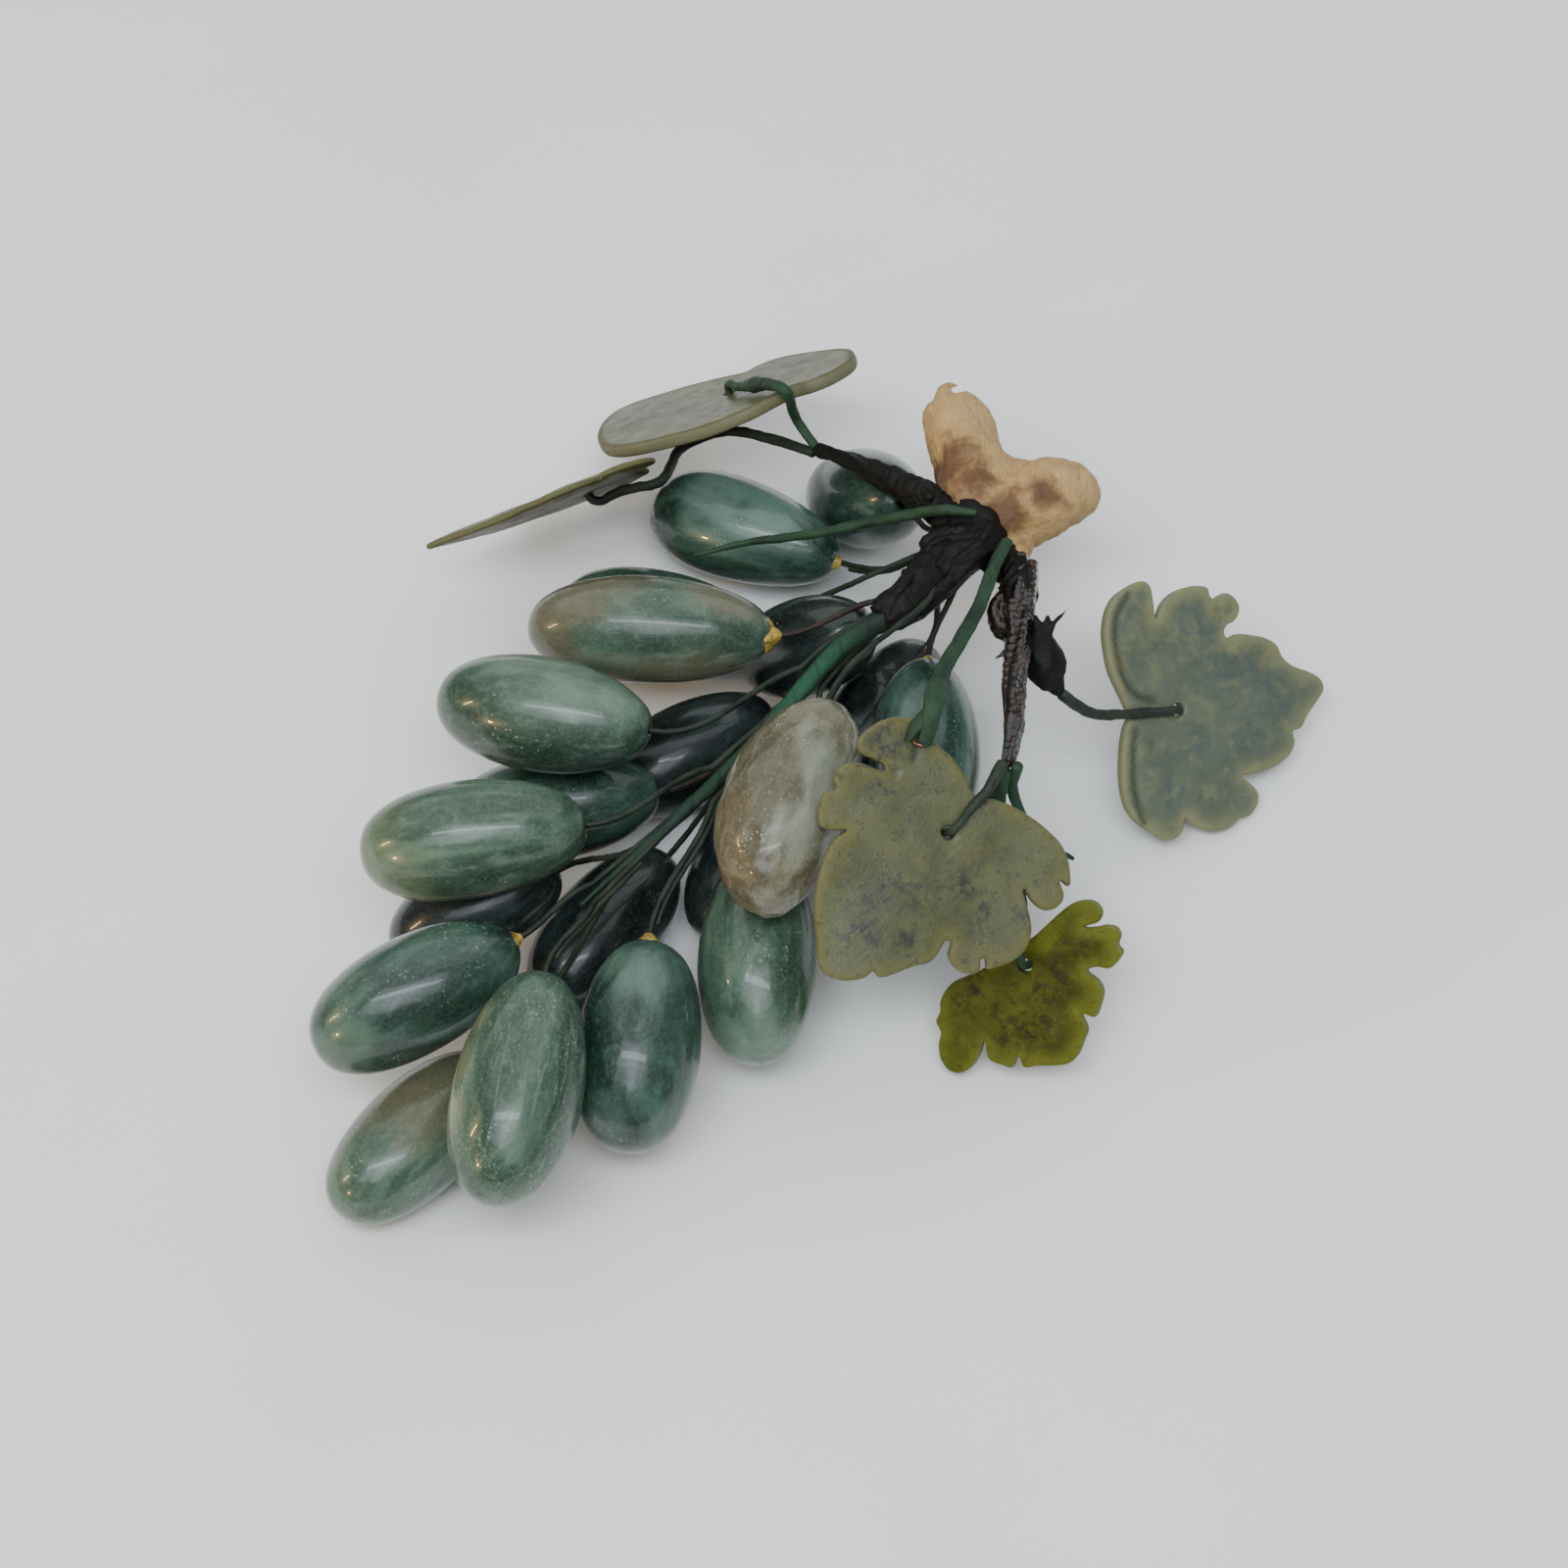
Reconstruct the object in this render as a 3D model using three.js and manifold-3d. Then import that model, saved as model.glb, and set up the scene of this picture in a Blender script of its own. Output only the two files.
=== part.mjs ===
// Hardstone grape bunch: polished oval grapes on taped wires, five thin carved leaves and a
// forked wooden stem. The bunch lies on its side, as it does when it is laid down.
// Millimetres, +Z up. The bench is z = 0, and the origin is the middle of the bunch's box on it.

import * as THREE from 'three';
import * as BufferGeometryUtils from 'three/addons/utils/BufferGeometryUtils.js';
import Module from 'manifold-3d';

const wasm = await Module();
wasm.setup();

// Driving sizes: a grape of ordinary size, its drilled hole and its wire
const GRAPE_LENGTH = 33;
const GRAPE_WIDTH = 17;
const GRAPE_TAPER = 0.05;
const FULLNESS = 0.88;
const HOLE_RADIUS = 1.0;
const HOLE_DEPTH = 4;
const WIRE_RADIUS = 0.45;

// A leaf of ordinary size, its hole and its wire
const LEAF_THICKNESS = 2;
const LEAF_HOLE_RADIUS = 1.5;
const LEAF_WIRE_RADIUS = 0.75;

// Clearances, and how far a resting grape's flat spot is ground in
const GAP = 0.3;
const SETTLE_GAP = 0.45;
const SEAT_DEPTH = 0.3;

// Fineness of the facets
const GRAPE_SIDES = 10;
const GRAPE_RINGS = 8;
const WIRE_SIDES = 5;
const WIRE_STEPS = 5;
const STEM_SIDES = 8;
const WOOD_SIDES = 9;

const UP = new THREE.Vector3(0, 0, 1);

// Finishes
function finish(colour, roughness) {
  return new THREE.MeshStandardMaterial({ color: colour, roughness, metalness: 0 });
}
const STONE = {
  teal: finish('#35584e', 0.18),
  sage: finish('#5f7c68', 0.18),
  dusk: finish('#27343a', 0.18),
  brown: finish('#6f7362', 0.22),
};
const LEAF_STONE = {
  olive: finish('#6f6f45', 0.25),
  grey: finish('#74806a', 0.25),
  yellow: finish('#8a8a2e', 0.25),
};
const GREEN_TAPE = finish('#28503c', 0.6);
const DARK_TAPE = finish('#2a221d', 0.5);
const WOOD = finish('#b8976c', 0.75);

const bunch = new THREE.Group();

function addMesh(name, geometry, material) {
  const mesh = new THREE.Mesh(geometry, material);
  mesh.name = name;
  bunch.add(mesh);
  return mesh;
}

const at = (x, y, z) => new THREE.Vector3(x, y, z);
const radians = (degrees) => THREE.MathUtils.degToRad(degrees);

// A direction from its compass heading on the bench and its climb above it, in degrees
function direction(heading, climb) {
  const flat = Math.cos(radians(climb));
  return at(
    flat * Math.cos(radians(heading)),
    flat * Math.sin(radians(heading)),
    Math.sin(radians(climb)),
  );
}

// Booleans
function toSolid(geometry) {
  const bare = geometry.clone();
  bare.deleteAttribute('normal');
  bare.deleteAttribute('uv');
  const merged = BufferGeometryUtils.mergeVertices(bare, 1e-4);
  const mesh = new wasm.Mesh({
    numProp: 3,
    vertProperties: Float32Array.from(merged.attributes.position.array),
    triVerts: Uint32Array.from(merged.index.array),
  });
  mesh.merge();
  return new wasm.Manifold(mesh);
}

function toGeometry(solid) {
  const mesh = solid.getMesh();
  const geometry = new THREE.BufferGeometry();
  geometry.setAttribute('position', new THREE.BufferAttribute(mesh.vertProperties, 3));
  geometry.setIndex(new THREE.BufferAttribute(mesh.triVerts, 1));
  geometry.computeVertexNormals();
  return geometry;
}

const cutAway = (geometry, cutter) => toGeometry(toSolid(geometry).subtract(toSolid(cutter)));

// A value read off a short list of [place, value] pairs, straight between them
function between(pairs, place) {
  const next = Math.max(1, pairs.findIndex(([spot]) => spot >= place));
  const [fromPlace, fromValue] = pairs[next - 1];
  const [toPlace, toValue] = pairs[next];
  return fromValue + ((toValue - fromValue) * (place - fromPlace)) / (toPlace - fromPlace);
}

// A smooth run of points through a few hand-set ones
function smooth(points, steps) {
  return new THREE.CatmullRomCurve3(points, false, 'centripetal').getPoints(steps);
}

// A round bar through a run of points, its radius read off a list of [place, radius] pairs
function bar(points, girth, sides) {
  const positions = [];
  const index = [];
  const last = points.length - 1;
  const tangents = points.map((point, i) => points[Math.min(i + 1, last)].clone()
    .sub(points[Math.max(i - 1, 0)]).normalize());
  const across = new THREE.Vector3().crossVectors(tangents[0], UP);
  points.forEach((point, i) => {
    const radius = between(girth, i / last);
    across.addScaledVector(tangents[i], -across.dot(tangents[i])).normalize();
    const other = new THREE.Vector3().crossVectors(tangents[i], across);
    for (let side = 0; side < sides; side += 1) {
      const turn = (2 * Math.PI * side) / sides;
      const spot = point.clone()
        .addScaledVector(across, radius * Math.cos(turn))
        .addScaledVector(other, radius * Math.sin(turn));
      positions.push(spot.x, spot.y, spot.z);
    }
  });
  for (let i = 0; i < last; i += 1) {
    for (let side = 0; side < sides; side += 1) {
      const a = i * sides + side;
      const b = i * sides + ((side + 1) % sides);
      index.push(a, b, a + sides, b, b + sides, a + sides);
    }
  }
  for (let side = 1; side < sides - 1; side += 1) {
    index.push(0, side + 1, side);
    index.push(last * sides, last * sides + side, last * sides + side + 1);
  }
  const geometry = new THREE.BufferGeometry();
  geometry.setAttribute('position', new THREE.Float32BufferAttribute(positions, 3));
  geometry.setIndex(index);
  geometry.computeVertexNormals();
  return geometry;
}

const wire = (points, radius) => bar(points, [[0, radius], [1, radius]], WIRE_SIDES);

// Wood: the cut face at its foot, where the wires are bound on
const FOOT = at(28.7, 25.2, 31);
const FOOT_FACING = direction(233, 0);

// Rachis: the taped bundle of wires that the grapes hang from, hub first
const RACHIS_STEPS = 20;
const RACHIS_PATH = smooth([
  FOOT.clone().addScaledVector(FOOT_FACING, GAP),
  FOOT.clone().addScaledVector(FOOT_FACING, 4),
  at(19, 11.5, 31.5), at(9, 3.5, 31), at(0, -8.5, 31),
  at(-9, -19.5, 30), at(-17, -28, 29), at(-29, -40, 27),
], RACHIS_STEPS);
const RACHIS_GIRTH = [[0, 5.6], [0.12, 4.4], [0.3, 2.9], [0.37, 1.9], [0.6, 1.3], [1, 0.85]];
addMesh('rachis', bar(RACHIS_PATH, RACHIS_GIRTH, STEM_SIDES), DARK_TAPE);

// Grapes: the middle of each, its heading and climb from the wire outwards, and how long and
// wide it is against an ordinary one. joins is how far along the rachis its wire comes in, via
// the spots it bends past on the way, and yields how easily the grape is pushed aside
const GRAPES = [
  { name: 'grape_01', stone: 'teal', middle: at(-5.8, 40.4, 11), heading: 154, climb: -6,
    long: 0.97, wide: 0.92, taper: 0.14, joins: 0.08 },
  { name: 'grape_02', stone: 'teal', middle: at(12.7, 45.2, 13), heading: 119, climb: -45,
    long: 0.97, wide: 0.92, joins: 0.05 },
  { name: 'grape_03', stone: 'brown', middle: at(-20, 7.6, 29), heading: 175, climb: -3,
    long: 1.11, wide: 0.95, joins: 0.33 },
  { name: 'grape_04', stone: 'sage', middle: at(-35, -9.5, 30.5), heading: 166, climb: -5,
    long: 0.985, wide: 1, joins: 0.5 },
  { name: 'grape_05', stone: 'sage', middle: at(-44.3, -32, 30.5), heading: 185, climb: -5,
    long: 1, wide: 1.01, joins: 0.72 },
  { name: 'grape_06', stone: 'teal', middle: at(-52.4, -52, 22), heading: 208, climb: -10,
    long: 0.985, wide: 1.01, joins: 0.97 },
  { name: 'grape_07', stone: 'brown', middle: at(-52.5, -67.1, 8), heading: 230, climb: 0,
    long: 0.97, wide: 0.965, joins: 0.94, seated: true },
  { name: 'grape_08', stone: 'sage', middle: at(-37.1, -68.7, 24), heading: 258, climb: -14,
    long: 1.045, wide: 1.07, joins: 0.99 },
  { name: 'grape_09', stone: 'teal', middle: at(-20.8, -57.5, 17), heading: 264, climb: -20,
    long: 0.94, wide: 1.06, joins: 0.76 },
  { name: 'grape_10', stone: 'teal', middle: at(-4.7, -40.3, 16), heading: 268, climb: -16,
    long: 0.94, wide: 1.025, joins: 0.5 },
  { name: 'grape_11', stone: 'brown', middle: at(0.4, -27.9, 32), heading: 252, climb: -6,
    long: 1.06, wide: 1.07, joins: 0.27 },
  { name: 'grape_12', stone: 'dusk', middle: at(-24, -31.5, 8), heading: 235, climb: 0,
    long: 0.94, wide: 0.93, joins: 0.62, seated: true, yields: 3 },
  { name: 'grape_13', stone: 'dusk', middle: at(-8, -28, 8), heading: 247, climb: 0,
    long: 0.88, wide: 0.905, joins: 0.52, yields: 6 },
  { name: 'grape_14', stone: 'teal', middle: at(-33.7, -13.3, 16), heading: 188, climb: -3,
    long: 0.94, wide: 0.93, joins: 0.54, yields: 3 },
  { name: 'grape_15', stone: 'dusk', middle: at(-14.1, 0.2, 8), heading: 213, climb: 0,
    long: 0.88, wide: 0.92, joins: 0.38, seated: true, yields: 3,
    via: [at(2.6, 2.4, 12.6), at(6.2, -0.2, 20.6)] },
  { name: 'grape_16', stone: 'dusk', middle: at(4.4, 13, 14), heading: 155, climb: -46,
    long: 0.82, wide: 0.895, joins: 0.24, yields: 3 },
  { name: 'grape_17', stone: 'teal', middle: at(-17.5, 24, 8), heading: 168, climb: 0,
    long: 0.94, wide: 0.93, joins: 0.12, seated: true, yields: 6,
    via: [at(2, 24.5, 11.5), at(10, 23.5, 19.5)] },
  { name: 'grape_18', stone: 'dusk', middle: at(13.9, 7, 8), heading: 243, climb: 0,
    long: 0.94, wide: 0.93, joins: 0.16, seated: true, yields: 3 },
  { name: 'grape_19', stone: 'teal', middle: at(20.4, -7.8, 18.5), heading: 267, climb: -10,
    long: 0.94, wide: 0.975, joins: 0.18 },
  { name: 'grape_20', stone: 'dusk', middle: at(-42.5, -34, 15.5), heading: 200, climb: -18,
    long: 0.82, wide: 0.88, joins: 0.9, yields: 3 },
];

// Half outline of a grape from its free end to its drilled stem end, on the way up its axis
function grapeProfile({ length, width, taper }) {
  const profile = [new THREE.Vector2(0, -length / 2)];
  for (let ring = 1; ring <= GRAPE_RINGS; ring += 1) {
    const turn = (Math.PI * ring) / (GRAPE_RINGS + 0.45);
    const along = -Math.cos(turn);
    const radius = (width / 2) * Math.sin(turn) ** FULLNESS * (1 - taper * along);
    profile.push(new THREE.Vector2(radius, (along * length) / 2));
  }
  return profile;
}

function grapeGeometry(grape) {
  const profile = grapeProfile(grape);
  const top = grape.length / 2;
  profile.push(new THREE.Vector2(HOLE_RADIUS, top - 0.15));
  profile.push(new THREE.Vector2(HOLE_RADIUS, top - HOLE_DEPTH));
  profile.push(new THREE.Vector2(0, top - HOLE_DEPTH));
  return new THREE.LatheGeometry(profile, GRAPE_SIDES);
}

// Balls strung along a grape's axis that fill it, for telling how near two grapes are
const BALLS_EACH_WAY = 6;
const BALL_REACH = 0.8;

function ballsAlong(grape) {
  const profile = grapeProfile(grape);
  profile.push(new THREE.Vector2(0, grape.length / 2));
  const balls = [];
  for (let step = -BALLS_EACH_WAY; step <= BALLS_EACH_WAY; step += 1) {
    const along = (step / BALLS_EACH_WAY) * (grape.length / 2) * BALL_REACH;
    const radius = Math.min(...profile.map((spot) => Math.hypot(spot.x, spot.y - along)));
    balls.push({ along, radius });
  }
  return balls;
}

const spotOn = (grape, along) => grape.middle.clone().addScaledVector(grape.outwards, -along);

// Grapes on springy wires push each other aside until each pair is clear
const SETTLE_ROUNDS = 80;

function pushApart(one, two) {
  const offset = new THREE.Vector3();
  let deepest = 0;
  one.balls.forEach((ball) => two.balls.forEach((other) => {
    const away = spotOn(two, other.along).sub(spotOn(one, ball.along));
    const depth = ball.radius + other.radius + SETTLE_GAP - away.length();
    if (depth > deepest) {
      deepest = depth;
      offset.copy(away).normalize();
    }
  }));
  const share = deepest / (one.yields + two.yields);
  one.middle.addScaledVector(offset, -share * one.yields);
  two.middle.addScaledVector(offset, share * two.yields);
}

function settle(grapes) {
  for (let round = 0; round < SETTLE_ROUNDS; round += 1) {
    grapes.forEach((one, i) => grapes.slice(i + 1).forEach((two) => pushApart(one, two)));
    grapes.forEach((grape) => {
      const rest = grape.drop - (grape.seated ? SEAT_DEPTH : -SEAT_DEPTH);
      grape.middle.z = grape.seated ? rest : Math.max(grape.middle.z, rest);
    });
  }
}

GRAPES.forEach((grape) => {
  grape.yields = grape.yields ?? 1;
  grape.taper = grape.taper ?? GRAPE_TAPER;
  grape.length = grape.long * GRAPE_LENGTH;
  grape.width = grape.wide * GRAPE_WIDTH;
  grape.outwards = direction(grape.heading, grape.climb);
  grape.geometry = grapeGeometry(grape);
  grape.geometry.applyQuaternion(new THREE.Quaternion().setFromUnitVectors(at(0, -1, 0), grape.outwards));
  grape.geometry.computeBoundingBox();
  grape.drop = -grape.geometry.boundingBox.min.z;
  grape.balls = ballsAlong(grape);
});
settle(GRAPES);

const benchBlock = new THREE.BoxGeometry(400, 400, 20);
benchBlock.translate(0, 0, -10);
GRAPES.forEach((grape) => {
  grape.geometry.translate(...grape.middle);
  const solid = grape.seated ? cutAway(grape.geometry, benchBlock) : grape.geometry;
  addMesh(grape.name, solid, STONE[grape.stone]);
});

// A grape's wire: out of its drilled end and along to the side of the rachis that faces it
function grapeWirePath(grape) {
  const stemEnd = spotOn(grape, grape.length / 2);
  const beyond = (distance) => spotOn(grape, grape.length / 2 + distance);
  const step = Math.floor(grape.joins * RACHIS_STEPS);
  const part = grape.joins * RACHIS_STEPS - step;
  const centre = RACHIS_PATH[step].clone().lerp(RACHIS_PATH[step + 1], part);
  const distal = RACHIS_PATH[step + 1].clone().sub(RACHIS_PATH[step]).normalize();
  const side = stemEnd.clone().sub(centre);
  side.addScaledVector(distal, -side.dot(distal)).normalize();
  const clear = between(RACHIS_GIRTH, grape.joins) + WIRE_RADIUS + GAP;
  const joint = centre.addScaledVector(side, clear);
  const reach = stemEnd.distanceTo(joint) * 0.35;
  const lead = joint.clone().addScaledVector(distal, reach * 0.8).addScaledVector(side, reach * 0.5);
  const inside = beyond(GAP - HOLE_DEPTH);
  if (grape.via) {
    return [inside, ...smooth([beyond(0.5), beyond(3), ...grape.via, joint], 2 * WIRE_STEPS)];
  }
  const curve = new THREE.CubicBezierCurve3(beyond(0.5), beyond(0.5 + reach), lead, joint);
  return [inside, ...curve.getPoints(WIRE_STEPS)];
}

GRAPES.forEach((grape) => {
  const name = grape.name.replace('grape', 'grape_wire');
  addMesh(name, wire(grapeWirePath(grape), WIRE_RADIUS), GREEN_TAPE);
});

// Leaves: the rim of each carved pattern, as [across, along] spots from the wire's hole in the
// leaf's own plane. Its saw cuts are the spots that turn back inwards
const LEAF_RIMS = {
  broad: [
    [-2.0, 13.0], [0.9, 10.5], [2.8, 7.7], [3.7, 5.8], [5.0, 4.9], [6.7, 4.8], [9.4, 3.9], [12.3, 2.3],
    [15.0, 0.3], [17.0, -1.8], [18.1, -4.3], [18.2, -7.8], [16.8, -6.9], [17.4, -9.2], [16.4, -10.7],
    [14.7, -11.2], [13.2, -10.4], [11.4, -8.1], [12.1, -11.0], [12.6, -13.8], [11.9, -16.4],
    [10.0, -18.2], [7.6, -19.1], [6.0, -19.4], [5.8, -18.1], [5.1, -18.0], [4.8, -19.7], [2.9, -20.1],
    [1.2, -19.1], [0.3, -17.4], [0.7, -15.6], [-0.1, -15.3], [-1.2, -16.9], [-2.5, -18.3],
    [-5.2, -19.0], [-10.0, -20.4], [-10.9, -19.6], [-12.4, -20.5], [-15.2, -20.8], [-17.4, -20.2],
    [-18.6, -18.7], [-19.0, -15.0], [-19.4, -10.3], [-19.0, -6.9], [-18.2, -3.9], [-16.4, -0.6],
    [-14.9, 0.3], [-16.8, 0.4], [-18.5, 0.9], [-18.9, 2.4], [-18.6, 4.4], [-17.8, 5.8], [-16.3, 6.2],
    [-16.7, 7.6], [-15.7, 9.3], [-14.0, 9.9], [-12.4, 9.8], [-9.4, 8.8], [-9.2, 9.4], [-11.0, 10.4],
    [-12.7, 11.2], [-13.3, 12.5], [-12.5, 13.9], [-10.2, 15.6], [-8.0, 16.3], [-5.5, 16.2], [-3.4, 15.4],
  ],
  toothed: [
    [-8.6, 18.2], [-7.0, 19.0], [-5.5, 19.3], [-4.5, 18.5], [-4.0, 16.5], [-3.5, 13.7], [-2.5, 15.8],
    [-1.1, 17.3], [1.1, 18.3], [3.6, 18.8], [5.4, 18.5], [5.8, 17.3], [6.5, 16.9], [7.6, 17.4],
    [8.7, 17.8], [10.1, 17.1], [11.0, 15.5], [10.3, 13.7], [8.8, 12.8], [8.3, 11.8], [8.9, 11.0],
    [10.8, 11.6], [13.3, 11.5], [15.7, 11.1], [17.6, 10.1], [18.7, 8.2], [20.6, 6.9], [23.2, 6.1],
    [25.2, 5.1], [26.0, 3.5], [24.9, 1.6], [23.2, -0.5], [21.9, -2.6], [20.5, -3.2], [20.8, -4.8],
    [19.9, -6.7], [17.4, -8.5], [14.5, -9.5], [11.4, -10.0], [12.8, -10.9], [14.3, -12.5],
    [14.3, -14.0], [13.0, -15.8], [11.0, -16.5], [9.6, -17.6], [7.6, -18.3], [5.0, -18.1], [2.6, -17.1],
    [1.3, -16.3], [1.1, -18.0], [0.2, -19.2], [-1.5, -19.7], [-3.5, -18.9], [-6.9, -16.8],
    [-8.5, -14.9], [-9.3, -12.5], [-9.6, -9.7], [-9.4, -6.0], [-8.8, -2.8], [-8.1, -0.9], [-8.9, 0.9],
    [-10.1, 3.1], [-11.4, 5.7], [-12.1, 8.6], [-12.4, 11.5], [-11.9, 14.6], [-10.6, 16.8],
  ],
  narrow: [
    [0.7, 4.0], [2.7, 5.8], [5.0, 8.0], [6.8, 9.4], [8.6, 10.0], [10.3, 9.8], [11.3, 8.5], [10.8, 7.0],
    [8.6, 6.1], [10.3, 6.2], [12.0, 6.6], [13.5, 6.3], [14.1, 5.2], [13.8, 3.8], [14.5, 2.9], [13.8, 1.5],
    [12.5, 0.3], [10.6, 0.4], [9.2, -0.2], [10.9, -1.5], [11.7, -2.9], [11.4, -4.8], [10.5, -6.9],
    [8.6, -6.6], [9.4, -8.7], [8.8, -10.7], [8.0, -12.6], [6.7, -13.9], [4.6, -14.4], [2.0, -14.6],
    [-0.1, -14.9], [-1.0, -13.4], [-1.8, -15.1], [-3.2, -14.9], [-5.4, -14.1], [-6.1, -11.5],
    [-6.9, -13.7], [-8.1, -15.5], [-9.8, -16.5], [-11.6, -16.1], [-12.8, -14.5], [-13.1, -12.4],
    [-12.8, -10.6], [-13.5, -9.1], [-12.9, -7.5], [-12.9, -6.2], [-12.3, -4.7], [-11.1, -3.2],
    [-9.4, -2.3], [-7.0, -1.2], [-4.6, 0.6], [-1.9, 2.9],
  ],
  oval: [
    [-22.1, 0.2], [-22.0, 7.0], [-20.9, 12.6], [-18.9, 16.2], [-15.9, 17.1], [-10.8, 16.1],
    [-7.5, 15.4], [-4.1, 14.1], [0.1, 12.2], [2.6, 10.8], [4.2, 12.2], [6.7, 13.0], [9.2, 12.4],
    [12.5, 9.9], [16.5, 5.8], [19.0, 3.0], [20.4, 0.1], [20.8, -4.2], [20.3, -7.5], [18.8, -10.1],
    [16.4, -12.3], [13.2, -13.0], [10.0, -12.0], [7.6, -13.5], [3.6, -15.6], [0.4, -16.2],
    [-3.6, -16.7], [-6.8, -16.2], [-10.8, -15.0], [-14.9, -13.4], [-18.2, -10.9], [-20.5, -7.2],
  ],
};

const LEAVES = [
  { name: 'leaf_1', stone: 'olive', rim: 'broad',
    hole: at(23, -34.3, 37), heading: 295, climb: 52, turn: 0 },
  { name: 'leaf_2', stone: 'grey', rim: 'toothed',
    hole: at(58.9, 3.2, 14.9), heading: 309, climb: 48, turn: 0 },
  { name: 'leaf_3', stone: 'yellow', rim: 'narrow',
    hole: at(35, -43.2, 16.1), heading: 243, climb: 44, turn: 0 },
  { name: 'leaf_4', stone: 'olive', rim: 'oval',
    hole: at(-8.3, 58.4, 22.1), heading: 121, climb: 49, turn: 0 },
  { name: 'leaf_5', stone: 'olive', rim: 'toothed',
    hole: at(-30.7, 42, 19.6), heading: 115, climb: 34, turn: 177 },
];

// A leaf is a flat slab with a hole for its wire
function leafGeometry(leaf) {
  const shape = new THREE.Shape(LEAF_RIMS[leaf.rim].map((spot) => new THREE.Vector2(...spot)));
  shape.holes.push(new THREE.Path().absarc(0, 0, LEAF_HOLE_RADIUS, 0, 2 * Math.PI));
  const geometry = new THREE.ExtrudeGeometry(shape, {
    depth: LEAF_THICKNESS, bevelEnabled: false, curveSegments: 8,
  });
  geometry.translate(0, 0, -LEAF_THICKNESS / 2);
  return geometry;
}

LEAVES.forEach((leaf) => {
  const facing = direction(leaf.heading, leaf.climb);
  const across = at(1, 0, 0).addScaledVector(facing, -facing.x).normalize();
  const along = new THREE.Vector3().crossVectors(facing, across);
  leaf.frame = new THREE.Matrix4().makeBasis(across, along, facing)
    .multiply(new THREE.Matrix4().makeRotationZ(radians(leaf.turn)))
    .setPosition(leaf.hole);
  const mesh = addMesh(leaf.name, leafGeometry(leaf), LEAF_STONE[leaf.stone]);
  mesh.applyMatrix4(leaf.frame);
});

const leafSpot = (leaf, across, along, height) => at(across, along, height).applyMatrix4(leaf.frame);

// The end of a leaf's wire: along one face from one side, then through its hole to show beyond
function throughHole(leaf, side, face, beyond) {
  const half = LEAF_THICKNESS / 2;
  const toward = radians(side);
  const spot = (away, height) => leafSpot(
    leaf, away * Math.cos(toward), away * Math.sin(toward), face * height,
  );
  return [
    spot(4.5, half + 1.2), spot(1.7, half + 1.5), spot(0.4, half + 0.9),
    spot(0, half * 0.3), spot(0, -half - beyond),
  ];
}

// Side branch: the second taped bundle, which carries the three front leaves
const BRANCH_PATH = [
  at(35.3, 19, 30), at(35.2, 13, 31), at(34.5, 3.3, 33.5),
  at(33.4, -8.7, 37), at(33, -17.2, 39.5), at(31.8, -24.9, 41),
];
const BRANCH_GIRTH = [[0, 2.6], [0.2, 2.6], [0.45, 1.9], [0.8, 1.5], [1, 1.0]];
addMesh('side_branch', bar(smooth(BRANCH_PATH, 12), BRANCH_GIRTH, STEM_SIDES), DARK_TAPE);

// Back branch: the bound wires of the two far leaves, over the second grape
const BACK_PATH = [at(22.6, 26.7, 35.2), at(16.6, 33.1, 33), at(11, 39, 29.8), at(5.4, 44.8, 25.8)];
const BACK_GIRTH = [[0, 2.3], [0.5, 1.5], [1, 1.1]];
addMesh('back_branch', bar(smooth(BACK_PATH, 7), BACK_GIRTH, STEM_SIDES), DARK_TAPE);

// Bud: the dark ball of binding on the side branch that the second leaf's wire leaves from
const BUD_PATH = [at(38.1, 5.6, 34), at(40, -3.2, 29.7)];
const BUD_GIRTH = [[0, 0.6], [0.17, 1.3], [0.33, 2.1], [0.5, 2.75], [0.67, 3.0], [0.83, 2.5], [1, 0.9]];
addMesh('bud', bar(smooth(BUD_PATH, 6), BUD_GIRTH, STEM_SIDES), DARK_TAPE);

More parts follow.
